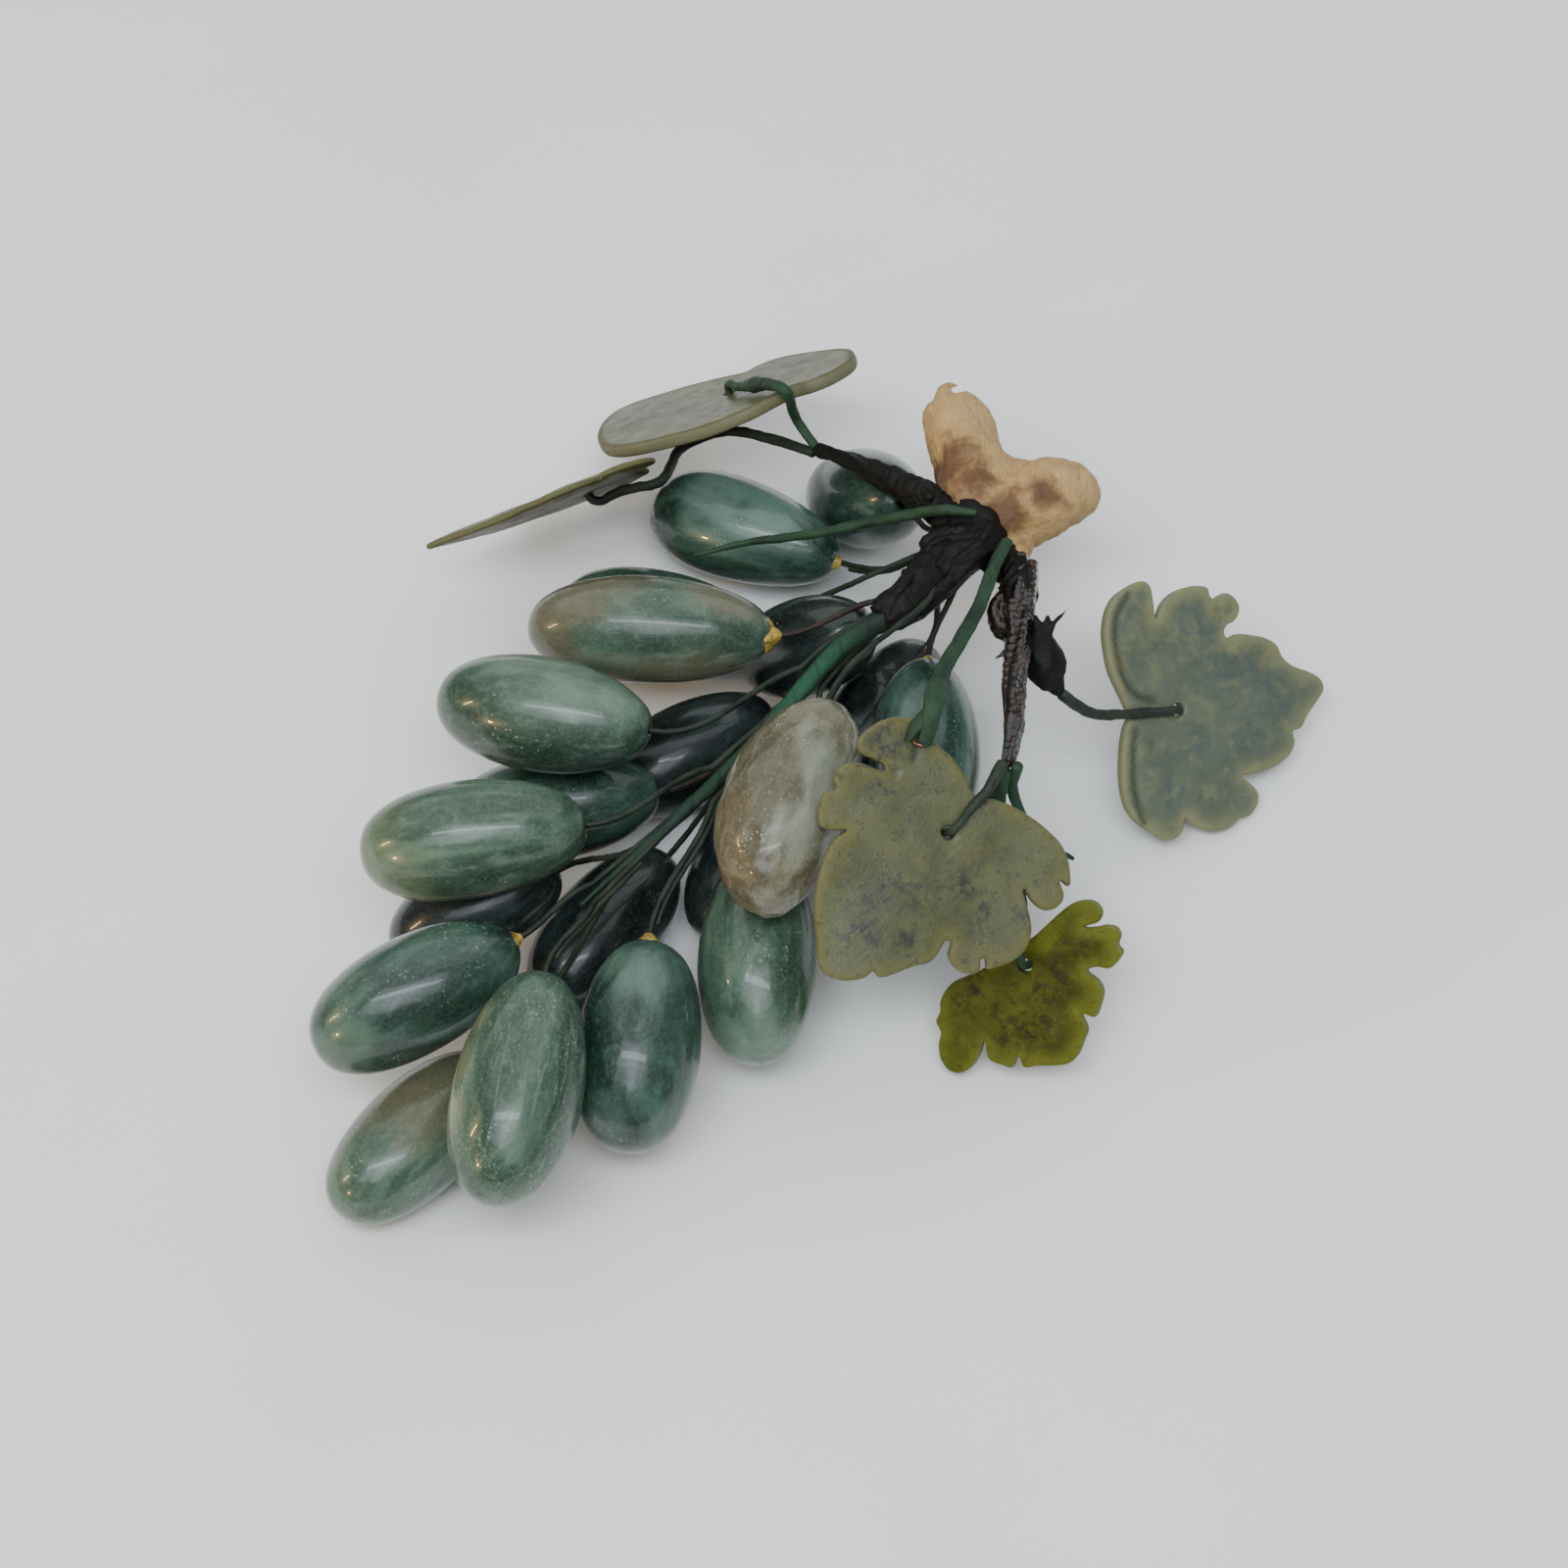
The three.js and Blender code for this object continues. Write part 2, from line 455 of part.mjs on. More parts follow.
const [LEAF_1, LEAF_2, LEAF_3, LEAF_4, LEAF_5] = LEAVES;
const LEAF_WIRES = {
  leaf_wire_1: [
    at(30.9, -26, 42.1), leafSpot(LEAF_1, 5.5, 6.2, 2.4), ...throughHole(LEAF_1, 48, 1, 1.4),
  ],
  leaf_wire_2: [
    at(41, -4, 28.6), at(43, -3.8, 26), at(46, -3, 22.5), at(50, -1, 19.5),
    ...throughHole(LEAF_2, 185, 1, 1.4),
  ],
  leaf_wire_3: [
    at(31.4, -25.9, 40), leafSpot(LEAF_1, 8.3, 5.5, -2.6), leafSpot(LEAF_1, 10.5, -2, -5),
    at(34.4, -37, 22.6), ...throughHole(LEAF_3, 95, 1, 1.4),
  ],
  leaf_wire_4: [
    at(4.7, 45.6, 26), at(2, 48.4, 28.6), leafSpot(LEAF_4, 9.6, -15.8, 1.6), leafSpot(LEAF_4, 7.3, -12.6, 2.8),
    ...throughHole(LEAF_4, -65, 1, 1.4),
  ],
  leaf_wire_5: [
    at(4.4, 45.8, 24), at(-1.5, 51, 20.8), at(-9, 55, 18), at(-15.6, 54.6, 15),
    leafSpot(LEAF_5, -11, 1, -3), leafSpot(LEAF_5, -7, 0.5, -2.4),
    ...throughHole(LEAF_5, 180, -1, 0),
  ],
  loose_wire_1: [
    at(28.4, 22.2, 38.6), at(24, 23.3, 37.9), at(13.2, 26.3, 31.2), at(4.5, 27.4, 27),
    at(-5.8, 29.2, 22.5), at(-13.8, 28.7, 20),
  ],
  loose_wire_2: [
    at(33.2, 19, 35.8), at(31.5, 14.7, 36.8), at(28.6, 4.8, 38.5), at(25.8, -2.8, 41),
    at(22.8, -11, 44), leafSpot(LEAF_1, -3, 17.5, 3.4), leafSpot(LEAF_1, -3.8, 12.8, 2.2),
  ],
  loose_wire_3: [
    at(33.1, -26, 41.5), leafSpot(LEAF_1, 11.3, 6.4, -2.2), leafSpot(LEAF_1, 15, 0.5, -3.2),
    leafSpot(LEAF_1, 20.4, -3.8, -4),
  ],
};
Object.entries(LEAF_WIRES).forEach(([name, spots]) => {
  addMesh(name, wire(smooth(spots, 2 * spots.length), LEAF_WIRE_RADIUS), GREEN_TAPE);
});

// Wooden stem: a forked piece of root, two gnarled arms on one foot
const LEFT_ARM = bar(
  smooth([at(30.4, 25.4, 31), at(29, 32, 31), at(27, 40, 31.5), at(24.4, 49.5, 32)], 7),
  [[0, 6.0], [0.3, 6.2], [0.6, 5.2], [0.85, 4.2], [1, 3.4]],
  WOOD_SIDES,
);
const RIGHT_ARM = bar(
  smooth([at(28.5, 27, 31), at(36.5, 28.3, 31.5), at(41.2, 30.3, 32.5), at(45, 31.4, 33)], 6),
  [[0, 5.4], [0.4, 6.1], [0.75, 5.7], [1, 4.2]],
  WOOD_SIDES,
);
const FOOT_CUTTER = new THREE.BoxGeometry(40, 40, 40);
FOOT_CUTTER.translate(20, 0, 0);
FOOT_CUTTER.applyQuaternion(new THREE.Quaternion().setFromUnitVectors(at(1, 0, 0), FOOT_FACING));
FOOT_CUTTER.translate(...FOOT);
const forked = toGeometry(toSolid(LEFT_ARM).add(toSolid(RIGHT_ARM)));
addMesh('wood_stem', cutAway(forked, FOOT_CUTTER), WOOD);

// The origin goes to the middle of the bunch's footprint, on the bench
const footprint = new THREE.Box3().setFromObject(bunch, true);
const footprintMiddle = footprint.getCenter(new THREE.Vector3());
bunch.position.set(-footprintMiddle.x, -footprintMiddle.y, 0);

const part = new THREE.Group();
part.add(bunch);

export default part;
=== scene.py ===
"""Looks of a hardstone grape bunch, built on its packed frame.

The bunch lies on its side: polished oval grapes on taped wires, five thin carved leaves and a
forked wooden stem. Sizes and places are bench millimetres, and make_piece turns them into the
frame's metres.
"""

import math

import bpy
import numpy as np
from bpy.props import FloatProperty, FloatVectorProperty, PointerProperty
from bpy.types import Operator, Panel, PropertyGroup
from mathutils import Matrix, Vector
from mathutils.geometry import delaunay_2d_cdt


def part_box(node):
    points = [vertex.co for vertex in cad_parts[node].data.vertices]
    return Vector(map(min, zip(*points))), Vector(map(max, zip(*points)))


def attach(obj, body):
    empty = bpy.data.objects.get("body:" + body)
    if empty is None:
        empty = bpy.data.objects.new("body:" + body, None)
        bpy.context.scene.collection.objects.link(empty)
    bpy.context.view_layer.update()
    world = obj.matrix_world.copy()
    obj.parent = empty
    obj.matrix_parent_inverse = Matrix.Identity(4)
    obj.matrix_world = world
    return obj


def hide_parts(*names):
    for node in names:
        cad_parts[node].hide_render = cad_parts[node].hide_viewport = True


bl_info = {
    "name": "Hardstone Grape Bunch",
    "version": (1, 0, 0),
    "blender": (4, 5, 0),
    "location": "View3D > Sidebar > Grapes",
    "description": "Builds a bunch of hardstone grapes with carved leaves on a wooden stem",
    "category": "Object",
}

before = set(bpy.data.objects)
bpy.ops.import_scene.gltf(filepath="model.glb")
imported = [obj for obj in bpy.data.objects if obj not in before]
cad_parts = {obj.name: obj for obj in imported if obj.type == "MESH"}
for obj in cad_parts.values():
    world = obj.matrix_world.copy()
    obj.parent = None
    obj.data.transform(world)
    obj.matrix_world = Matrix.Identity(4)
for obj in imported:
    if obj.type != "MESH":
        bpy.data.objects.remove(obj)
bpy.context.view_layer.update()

MM = 0.001
UP = np.array([0.0, 0.0, 1.0])


# Small sums

def unit(vector):
    """The vector at length 1."""
    vector = np.asarray(vector, float)
    return vector / np.linalg.norm(vector)


def direction(heading, climb):
    """A direction from its compass heading on the bench and its climb above it, in degrees."""
    flat = math.cos(math.radians(climb))
    return np.array([
        flat * math.cos(math.radians(heading)),
        flat * math.sin(math.radians(heading)),
        math.sin(math.radians(climb)),
    ])


def eased(values, low, high):
    """0 below low, 1 above high and smooth between them."""
    share = np.clip((np.asarray(values, float) - low) / (high - low), 0, 1)
    return share * share * (3 - 2 * share)


WAVES = 10
WAVE_LENGTHS = (1.2, 2.6)
WAVE_HEIGHT = 1.6


def lumps(points, size, seed):
    """Smooth seeded swells about size millimetres across, mostly between -1 and 1."""
    random = np.random.default_rng(seed)
    headings = random.normal(size=(WAVES, 3))
    headings /= np.linalg.norm(headings, axis=1)[:, None]
    paces = 2 * math.pi / (size * random.uniform(*WAVE_LENGTHS, WAVES))
    starts = random.uniform(0, 2 * math.pi, WAVES)
    swells = np.sin(np.asarray(points) @ (headings * paces[:, None]).T + starts)
    return swells.sum(axis=1) / math.sqrt(WAVES / 2) / WAVE_HEIGHT


def nearness(points, reach, spots):
    """1 at any of the spots, fading to 0 beyond their reach."""
    spots = np.array(spots, float)
    return np.max([np.exp(-((points - spot) ** 2).sum(axis=1) / reach ** 2) for spot in spots], axis=0)


def clouds(points, spots):
    """The nearness to the nearest of several (place, reach) spots."""
    return np.max([nearness(points, reach, [place]) for place, reach in spots], axis=0)


def creases(points, size, seed):
    """Sharp-edged folds about size millimetres across, from 0 in a crease to 1."""
    return 1 - np.abs(1 - 2 * np.abs(lumps(points, size, seed))).clip(0, 1)


def colour(hex_code):
    """A '#rrggbb' display colour as linear light, with alpha."""
    channels = [int(hex_code[i:i + 2], 16) / 255 for i in (1, 3, 5)]
    return tuple(c / 12.92 if c <= 0.04045 else ((c + 0.055) / 1.055) ** 2.4 for c in channels) + (1.0,)


# The frame, read in bench millimetres. SHIFT is set once the leaves' sizes are known

SHIFT = np.zeros(3)


def spots_of(node):
    """The corners of a CAD node's mesh."""
    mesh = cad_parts[node].data
    flat = np.empty(3 * len(mesh.vertices))
    mesh.vertices.foreach_get("co", flat)
    return np.unique(np.round(flat.reshape(-1, 3) / MM - SHIFT, 3), axis=0)


# Curves

CURVE_STEPS = 12


def lengths_along(points):
    """How far along a run of points each of them is, in millimetres."""
    return np.r_[0, np.cumsum(np.linalg.norm(np.diff(points, axis=0), axis=1))]


def curve(spots, places):
    """Points of the smooth curve through given spots, at places from 0 to 1 along them."""
    spots = np.asarray(spots, float)
    padded = np.vstack([2 * spots[0] - spots[1], spots, 2 * spots[-1] - spots[-2]])
    share = np.clip(np.asarray(places, float), 0, 1) * (len(spots) - 1)
    gap = np.minimum(share.astype(int), len(spots) - 2)
    step = (share - gap)[..., None]
    before, start, stop, after = (padded[gap + i] for i in range(4))
    first, middle, last = (
        np.sqrt(np.linalg.norm(to - away, axis=-1))[..., None]
        for away, to in ((before, start), (start, stop), (stop, after))
    )
    leave = middle * (
        (start - before) / first - (stop - before) / (first + middle) + (stop - start) / middle
    )
    arrive = middle * (
        (stop - start) / middle - (after - start) / (middle + last) + (after - stop) / last
    )
    bend = -3 * start + 3 * stop - 2 * leave - arrive
    close = 2 * start - 2 * stop + leave + arrive
    return start + step * (leave + step * (bend + step * close))


def evenly(points, step):
    """The same run of points, resampled about one step apart."""
    points = np.asarray(points, float)
    lengths = lengths_along(points)
    count = max(2, round(lengths[-1] / step))
    spots = np.linspace(0, lengths[-1], count + 1)
    return np.column_stack([np.interp(spots, lengths, column) for column in points.T])


def smooth_run(spots, step):
    """A smooth run of points through given spots, about one step apart."""
    return evenly(curve(spots, np.linspace(0, 1, CURVE_STEPS * len(spots))), step)


def sides_of(path):
    """Directions along a path, and two across it that don't twist."""
    along = np.gradient(path, axis=0)
    along /= np.linalg.norm(along, axis=1)[:, None]
    across = np.empty_like(along)
    side = np.cross(along[0], UP)
    for i, way in enumerate(along):
        side = unit(side - way * (side @ way))
        across[i] = side
    return along, across, np.cross(along, across)


# Meshes

def combine(parts):
    """Several (points, faces) meshes as one."""
    points, faces, count = [], [], 0
    for spots, corners in parts:
        points.append(spots)
        faces += [tuple(corner + count for corner in face) for face in corners]
        count += len(spots)
    return np.vstack(points), faces


def turns_round(sides):
    """Even turns round a circle, in radians."""
    return np.linspace(0, 2 * math.pi, sides, endpoint=False)


def bar_faces(rings, sides):
    """Faces of a closed bar: quads between its rings of corners, and a fan at either end from the
    two points that follow the rings."""
    faces = []
    for ring in range(rings - 1):
        for side in range(sides):
            a = ring * sides + side
            b = ring * sides + (side + 1) % sides
            faces.append((a, b, b + sides, a + sides))
    tip, last = rings * sides, (rings - 1) * sides
    for side in range(sides):
        following = (side + 1) % sides
        faces.append((tip, following, side))
        faces.append((tip + 1, last + side, last + following))
    return faces


def lathe(profile, sides):
    """A closed turned solid about z from (radius, height) pairs that start and end on the axis."""
    rings = profile[1:-1]
    points = [
        (radius * math.cos(turn), radius * math.sin(turn), height)
        for radius, height in rings for turn in turns_round(sides)
    ]
    points += [(0, 0, profile[0][1]), (0, 0, profile[-1][1])]
    return np.array(points), bar_faces(len(rings), sides)


BLUNT = 0.6
CAP_TURNS = np.radians([25, 50, 72])


def tube(path, radius, sides, blunt=BLUNT, flat=1.0):
    """A closed bar along a path, and where each corner would be if the bar were straight.

    radius takes (share along, millimetres along, turn, points) arrays and gives millimetres.
    """
    along, across, other = sides_of(path)
    lengths = lengths_along(path)
    turns = turns_round(sides)
    whole = np.repeat(lengths[:, None], sides, axis=1)
    round_it = np.repeat(turns[None, :], len(path), axis=0)
    outward = across[:, None] * np.cos(turns)[None, :, None]
    outward = outward + other[:, None] * np.sin(turns)[None, :, None] * flat
    skin = (path[:, None] + outward).reshape(-1, 3)
    reach = radius((whole / lengths[-1]).ravel(), whole.ravel(), round_it.ravel(), skin)
    reach = reach.reshape(len(path), sides)
    rings = [path[:, None] + outward * reach[..., None]]
    straights = [np.stack([whole, reach * np.cos(round_it), reach * np.sin(round_it)], axis=-1)]
    tips = []
    for end, way in ((0, -1), (-1, 1)):
        bulge = along[end] * way * reach[end].mean() * blunt
        tips.append(path[end] + bulge)
        caps = [
            path[end] + outward[end] * (reach[end] * math.cos(cap))[:, None] + bulge * math.sin(cap)
            for cap in CAP_TURNS
        ]
        flats = [straights[0][end] * [1, math.cos(cap), math.cos(cap)] for cap in CAP_TURNS]
        if end == 0:
            rings = [np.array(caps[::-1])] + rings
            straights = [np.array(flats[::-1])] + straights
        else:
            rings.append(np.array(caps))
            straights.append(np.array(flats))
    points = np.vstack(rings)
    corners = np.vstack([points.reshape(-1, 3), tips])
    straight = np.vstack([np.vstack(straights).reshape(-1, 3), [[0, 0, 0], [lengths[-1], 0, 0]]])
    return corners, bar_faces(len(points), sides), straight


def taper(start, stop):
    """A tube radius that goes evenly from start to stop."""
    return lambda share, *_: start + (stop - start) * share


def bars(runs, step, sides):
    """Closed bars along several runs of spots, each with its radii at both ends."""
    made = [tube(smooth_run(spots, step), taper(*girths), sides) for spots, girths in runs]
    return [(points, faces) for points, faces, _ in made]


def make_piece(name, points, faces, material, replaced=(), own=None, fields=None):
    """A smooth-shaded piece of the bunch that rides on the frame, from its points on the bench.

    own are the coordinates that its material goes by, and fields its further numbers.
    """
    mesh = bpy.data.meshes.new(name)
    mesh.from_pydata(((np.asarray(points, float) + SHIFT) * MM).tolist(), [], faces)
    mesh.shade_smooth()
    mesh.materials.append(material)
    own = np.asarray(points if own is None else own, np.float32)
    mesh.attributes.new("own", "FLOAT_VECTOR", "POINT").data.foreach_set("vector", own.ravel())
    for field, values in (fields or {}).items():
        values = np.asarray(values, np.float32)
        mesh.attributes.new(field, "FLOAT", "POINT").data.foreach_set("value", values)
    mesh.update()
    piece = bpy.data.objects.new(name, mesh)
    bpy.context.scene.collection.objects.link(piece)
    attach(piece, "root")
    if replaced:
        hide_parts(*replaced)


SOFTENING = 0.5


def fused(parts, voxel, softened):
    """One closed skin round overlapping closed meshes: its points, faces and outward directions."""
    points, faces = combine(parts)
    mesh = bpy.data.meshes.new("rough")
    mesh.from_pydata((points * MM).tolist(), [], faces)
    rough = bpy.data.objects.new("rough", mesh)
    bpy.context.scene.collection.objects.link(rough)
    skin = rough.modifiers.new("Skin", "REMESH")
    skin.mode = "VOXEL"
    skin.voxel_size = voxel * MM
    soften = rough.modifiers.new("Soften", "SMOOTH")
    soften.factor = SOFTENING
    soften.iterations = softened
    ready = rough.evaluated_get(bpy.context.evaluated_depsgraph_get()).to_mesh()
    if not ready.polygons:
        raise RuntimeError("the overlapping meshes gave no skin")
    spots = np.empty(3 * len(ready.vertices))
    ready.vertices.foreach_get("co", spots)
    outwards = np.empty(3 * len(ready.vertices), np.float32)
    ready.vertex_normals.foreach_get("vector", outwards)
    corners = [tuple(face.vertices) for face in ready.polygons]
    bpy.data.objects.remove(rough)
    bpy.data.meshes.remove(mesh)
    return spots.reshape(-1, 3) / MM, corners, outwards.reshape(-1, 3).astype(float)


# Materials

class Mix:
    """A material in the making, with short names for the nodes its colours go through."""

    def __init__(self, name):
        self.material = bpy.data.materials.new(name)
        self.material.use_nodes = True
        self.tree = self.material.node_tree
        self.tree.nodes.clear()

    def add(self, kind, inputs=None, **settings):
        """A node, with its settings, and its inputs linked or set."""
        made = self.tree.nodes.new("ShaderNode" + kind)
        for name, value in settings.items():
            setattr(made, name, value)
        for name, value in (inputs or {}).items():
            if isinstance(value, bpy.types.NodeSocket):
                self.tree.links.new(value, made.inputs[name])
            else:
                made.inputs[name].default_value = value
        return made

    def own(self):
        """The coordinates that the piece keeps for its material, in millimetres."""
        return self.field("own", vector=True)

    def field(self, name, vector=False):
        """A value kept on the mesh."""
        return self.add("Attribute", attribute_name=name).outputs["Vector" if vector else "Fac"]

    def stretched(self, vector, stretch, shift=(0, 0, 0), turn=(0, 0, 0)):
        """Coordinates in which a pattern comes out longer along an axis whose number is below 1."""
        inputs = {"Vector": vector, "Location": shift, "Rotation": turn, "Scale": stretch}
        return self.add("Mapping", inputs).outputs[0]

    def noise(self, vector, size, detail, rough, distortion=0.0):
        """Cloudy values about size millimetres across."""
        return self.add("TexNoise", {
            "Vector": vector, "Scale": 1 / size, "Detail": detail, "Roughness": rough,
            "Distortion": distortion,
        }).outputs[0]

    def cells(self, vector, size):
        """Distance from the nearest of scattered spots, and each spot's own colour."""
        made = self.add("TexVoronoi", {"Vector": vector, "Scale": 1 / size, "Randomness": 1.0})
        return made.outputs["Distance"], made.outputs["Color"]

    def remap(self, value, low, high, start=0.0, stop=1.0):
        """The value eased from start to stop as it goes from low to high."""
        inputs = {"Value": value, "From Min": low, "From Max": high, "To Min": start, "To Max": stop}
        return self.add("MapRange", inputs, interpolation_type="SMOOTHSTEP").outputs[0]

    def sum(self, kind, one, two=0.0):
        """A sum of two numbers: ADD, MULTIPLY and so on."""
        return self.add("Math", {0: one, 1: two}, operation=kind).outputs[0]

    def plus(self, one, two):
        """Two numbers added."""
        return self.sum("ADD", one, two)

    def times(self, one, two):
        """Two numbers multiplied."""
        return self.sum("MULTIPLY", one, two)

    def off_middle(self, value):
        """How far a cloudy value is above its usual 0.5."""
        return self.sum("SUBTRACT", value, 0.5)

    def blend(self, amount, one, two):
        """Two colours mixed."""
        return self.add("Mix", {0: amount, 6: one, 7: two}, data_type="RGBA").outputs[2]

    def layer(self, base, shade, value, low, high, strength=1.0):
        """The base with a shade over it, which comes up as the value goes from low to high."""
        return self.blend(self.remap(value, low, high, 0, strength), base, shade)

    def bump(self, height, distance):
        """A surface roughened by a height of that many millimetres."""
        inputs = {"Height": height, "Strength": 1.0, "Distance": distance * MM}
        return self.add("Bump", inputs).outputs[0]

    def finish(self, inputs):
        """The shader that the colours end in."""
        shader = self.add("BsdfPrincipled", inputs)
        self.add("OutputMaterial", {"Surface": shader.outputs[0]})
        return self.material


# Settings that a user would change

class GrapeSettings(PropertyGroup):
    """The grapes' stone."""

    polish: FloatProperty(name="Polish", description="Roughness of the polished stone",
                          default=0.3, min=0.02, max=0.6, subtype="FACTOR")
    unevenness: FloatProperty(name="Unevenness", description="How far the hand-ground stone swells, in mm",
                              default=0.16, min=0, max=0.5)
    flecks: FloatProperty(name="Flecks", description="How thickly pale specks lie in the stone",
                          default=1.0, min=0, max=2, subtype="FACTOR")
    glue: FloatVectorProperty(name="Glue", description="Colour of the old glue in the drilled ends",
                              default=colour("#b8983a"), size=4, min=0, max=1, subtype="COLOR")


class TapeSettings(PropertyGroup):
    """The tape on the wires."""

    green: FloatVectorProperty(name="Green tape", description="Colour of the green tape",
                               default=colour("#13251a"), size=4, min=0, max=1, subtype="COLOR")
    dark: FloatVectorProperty(name="Dark tape", description="Colour of the old brown binding",
                              default=colour("#080807"), size=4, min=0, max=1, subtype="COLOR")
    # The colour of the painted highlight on the upper side of the rachis tape.
    highlight_green: FloatVectorProperty(name="Emerald tape",
                                 description="Colour of the tape's upper side on the rachis",
                                 default=colour("#1c4c33"), size=4, min=0, max=1, subtype="COLOR")
    lap: FloatProperty(name="Lap", description="Distance from one turn of the tape to the next, in mm",
                       default=2.6, min=0.5, max=10)


class LeafSettings(PropertyGroup):
    """The carved leaves."""

    edge: FloatProperty(name="Edge", description="How far in the rounded edge reaches, in mm",
                        default=0.55, min=0.1, max=2)
    swell: FloatProperty(name="Swell", description="How far a leaf's face is from flat, in mm",
                         default=0.22, min=0, max=1)
    polish: FloatProperty(name="Polish", description="Roughness of the leaves' faces",
                          default=0.36, min=0.02, max=0.8, subtype="FACTOR")


class WoodSettings(PropertyGroup):
    """The wooden stem."""

    pale: FloatVectorProperty(name="Pale wood", description="Colour of the clean wood",
                              default=colour("#b6945e"), size=4, min=0, max=1, subtype="COLOR")
    stain: FloatVectorProperty(name="Stain", description="Colour of the stained wood",
                               default=colour("#59391f"), size=4, min=0, max=1, subtype="COLOR")
    gnarl: FloatProperty(name="Gnarl", description="How far the wood's knots stand out, in mm",
                         default=0.7, min=0, max=2)


class StageSettings(PropertyGroup):
    """The floor, the lights and the camera."""

    floor: FloatVectorProperty(name="Floor", description="Colour of the floor",
                               default=colour("#efefed"), size=4, min=0, max=1, subtype="COLOR")
    window: FloatProperty(name="Window", description="Power of the window light",
                          default=7.1, min=0, max=500, unit="POWER")
    ceiling: FloatProperty(name="Ceiling", description="Power of the soft light above and behind",
                           default=12, min=0, max=500, unit="POWER")
    distance: FloatProperty(name="Distance", description="From the camera to the middle of the bench",
                            default=0.667, min=0.2, max=5, unit="LENGTH", subtype="DISTANCE")
    elevation: FloatProperty(name="Elevation", description="The camera's height above the bench",
                             default=math.radians(55), min=0, max=math.radians(89), subtype="ANGLE")


# Rachis and branches: the routes that the wires follow

FOOT = np.array([28.7, 25.2, 31.0])
FOOT_FACING = direction(233, 0)
RACHIS_SPOTS = [
    FOOT + 0.3 * FOOT_FACING, FOOT + 4 * FOOT_FACING, (19, 11.5, 31.5), (9, 3.5, 31),
    (0, -8.5, 31), (-9, -19.5, 30), (-17, -28, 29), (-29, -40, 27),
]
RACHIS_GIRTH = ([0, 0.12, 0.3, 0.37, 0.6, 1], [5.6, 4.4, 2.9, 1.9, 1.3, 0.85])
BRANCH_SPOTS = [
    (35.3, 19, 30), (35.2, 13, 31), (34.5, 3.3, 33.5), (33.4, -8.7, 37), (33, -17.2, 39.5),
    (31.8, -24.9, 41),
]
BRANCH_GIRTH = ([0, 0.2, 0.45, 0.8, 1], [2.6, 2.6, 1.9, 1.5, 1.0])
BUD_SPOTS = [(37.5, 4.9, 33.8), (39, -3.1, 29.7)]
BUD_GIRTH = ([0, 0.17, 0.33, 0.5, 0.67, 0.83, 1], [0.8, 1.5, 2.3, 2.9, 3.1, 2.7, 1.3])
BACK_SPOTS = [(22.6, 26.7, 35.2), (16.6, 33.1, 33), (11, 39, 29.8), (5.4, 44.8, 25.8)]
BACK_GIRTH = ([0, 0.5, 1], [2.3, 1.5, 1.1])
ROUTE_STEPS = 400

# Knots and loose ends of binding, as runs of spots with a radius at either end
BRANCH_EXTRAS = [
    ([(34, 12.5, 31), (31.8, 9.5, 31.4), (32.2, 6, 31.8), (34, 3.5, 33)], (1.9, 1.5)),
    ([(34, 2, 34), (32.2, -0.2, 33.6), (30.9, -1.2, 33.8)], (0.8, 0.15)),
    ([(34.8, 16, 31), (36.6, 9, 33), (35.4, 1, 34.6)], (0.9, 0.5)),
    ([(33.2, 14.5, 31.6), (33.4, 8, 34), (33.8, -2, 36)], (0.7, 0.5)),
]
BACK_EXTRAS = [([(22.6, 26.2, 35), (17, 31.5, 32.6), (12, 37, 30)], (1.7, 0.9))]
BUD_EXTRAS = [
    ([(38, 1.5, 32.6), (37.6, 4.2, 33.8), (37, 6, 34.6)], (1.8, 0.4)),
    ([(38.2, 1.9, 32.8), (38.7, 4.6, 33.9), (38.9, 6, 34.6)], (1.3, 0.3)),
    ([(38.6, 2.3, 33.2), (39.6, 4.6, 34.2), (40.8, 5.8, 34.9), (42.4, 7.2, 35.7)], (0.6, 0.13)),
    ([(38.6, -0.7, 30.6), (40.5, -3.6, 28.9)], (2.8, 1.1)),
]
HUB_RUNS = [
    ([FOOT + FOOT_FACING * 0.4, FOOT + FOOT_FACING * 5, (19.5, 12.5, 31.5), (15, 8.5, 31.5)],
     (4.9, 2.6)),
    ([(31.5, 21.5, 30), (34.5, 17, 30.5), (35.2, 12, 31.2)], (3.2, 2.6)),
    ([(27, 22.5, 33.3), (21.5, 28.2, 34.6), (16.5, 33, 33)], (2.9, 2.1)),
    ([(30.5, 22.5, 33.5), (27.5, 19, 34), (23.5, 15.5, 33.5)], (2.8, 2.2)),
    ([(28, 22, 28), (24, 20, 27.5), (19, 17, 28.5)], (2.5, 2.0)),
    ([(29, 21, 34.5), (25, 21, 34.8), (21.5, 20, 33.4)], (2.2, 1.6)),
    ([(30, 20, 34), (26, 14.5, 34.2), (20.5, 8.5, 32.8)], (1.8, 1.0)),
    ([(27, 23, 32), (20, 14.5, 34.4), (14, 8, 33.4)], (1.6, 0.8)),
]


def route(spots, step):
    """A path through spots, with the share of the given run that each of its points is at."""
    places = np.linspace(0, 1, ROUTE_STEPS)
    lengths = lengths_along(curve(spots, places))
    marks = np.linspace(0, lengths[-1], max(2, round(lengths[-1] / step)) + 1)
    shares = np.interp(marks, lengths, places)
    return curve(spots, shares), shares


# Grapes

HOLE_RADIUS = 1.0
HOLE_DEPTH = 4.0
HOLE_BEVEL = 0.12
FULLNESS = 0.88
WIRE_INSET = 0.3
WIRE_CORNERS = 5
GRAPE_TURNS = 72
GRAPE_RINGS = 56

# A CAD grape is measured by its corners up to this share of its half length, and above its seat
MEASURED_SHARE = 0.93
SEAT_TOP = 0.05
SEAT_LEVEL = 0.01

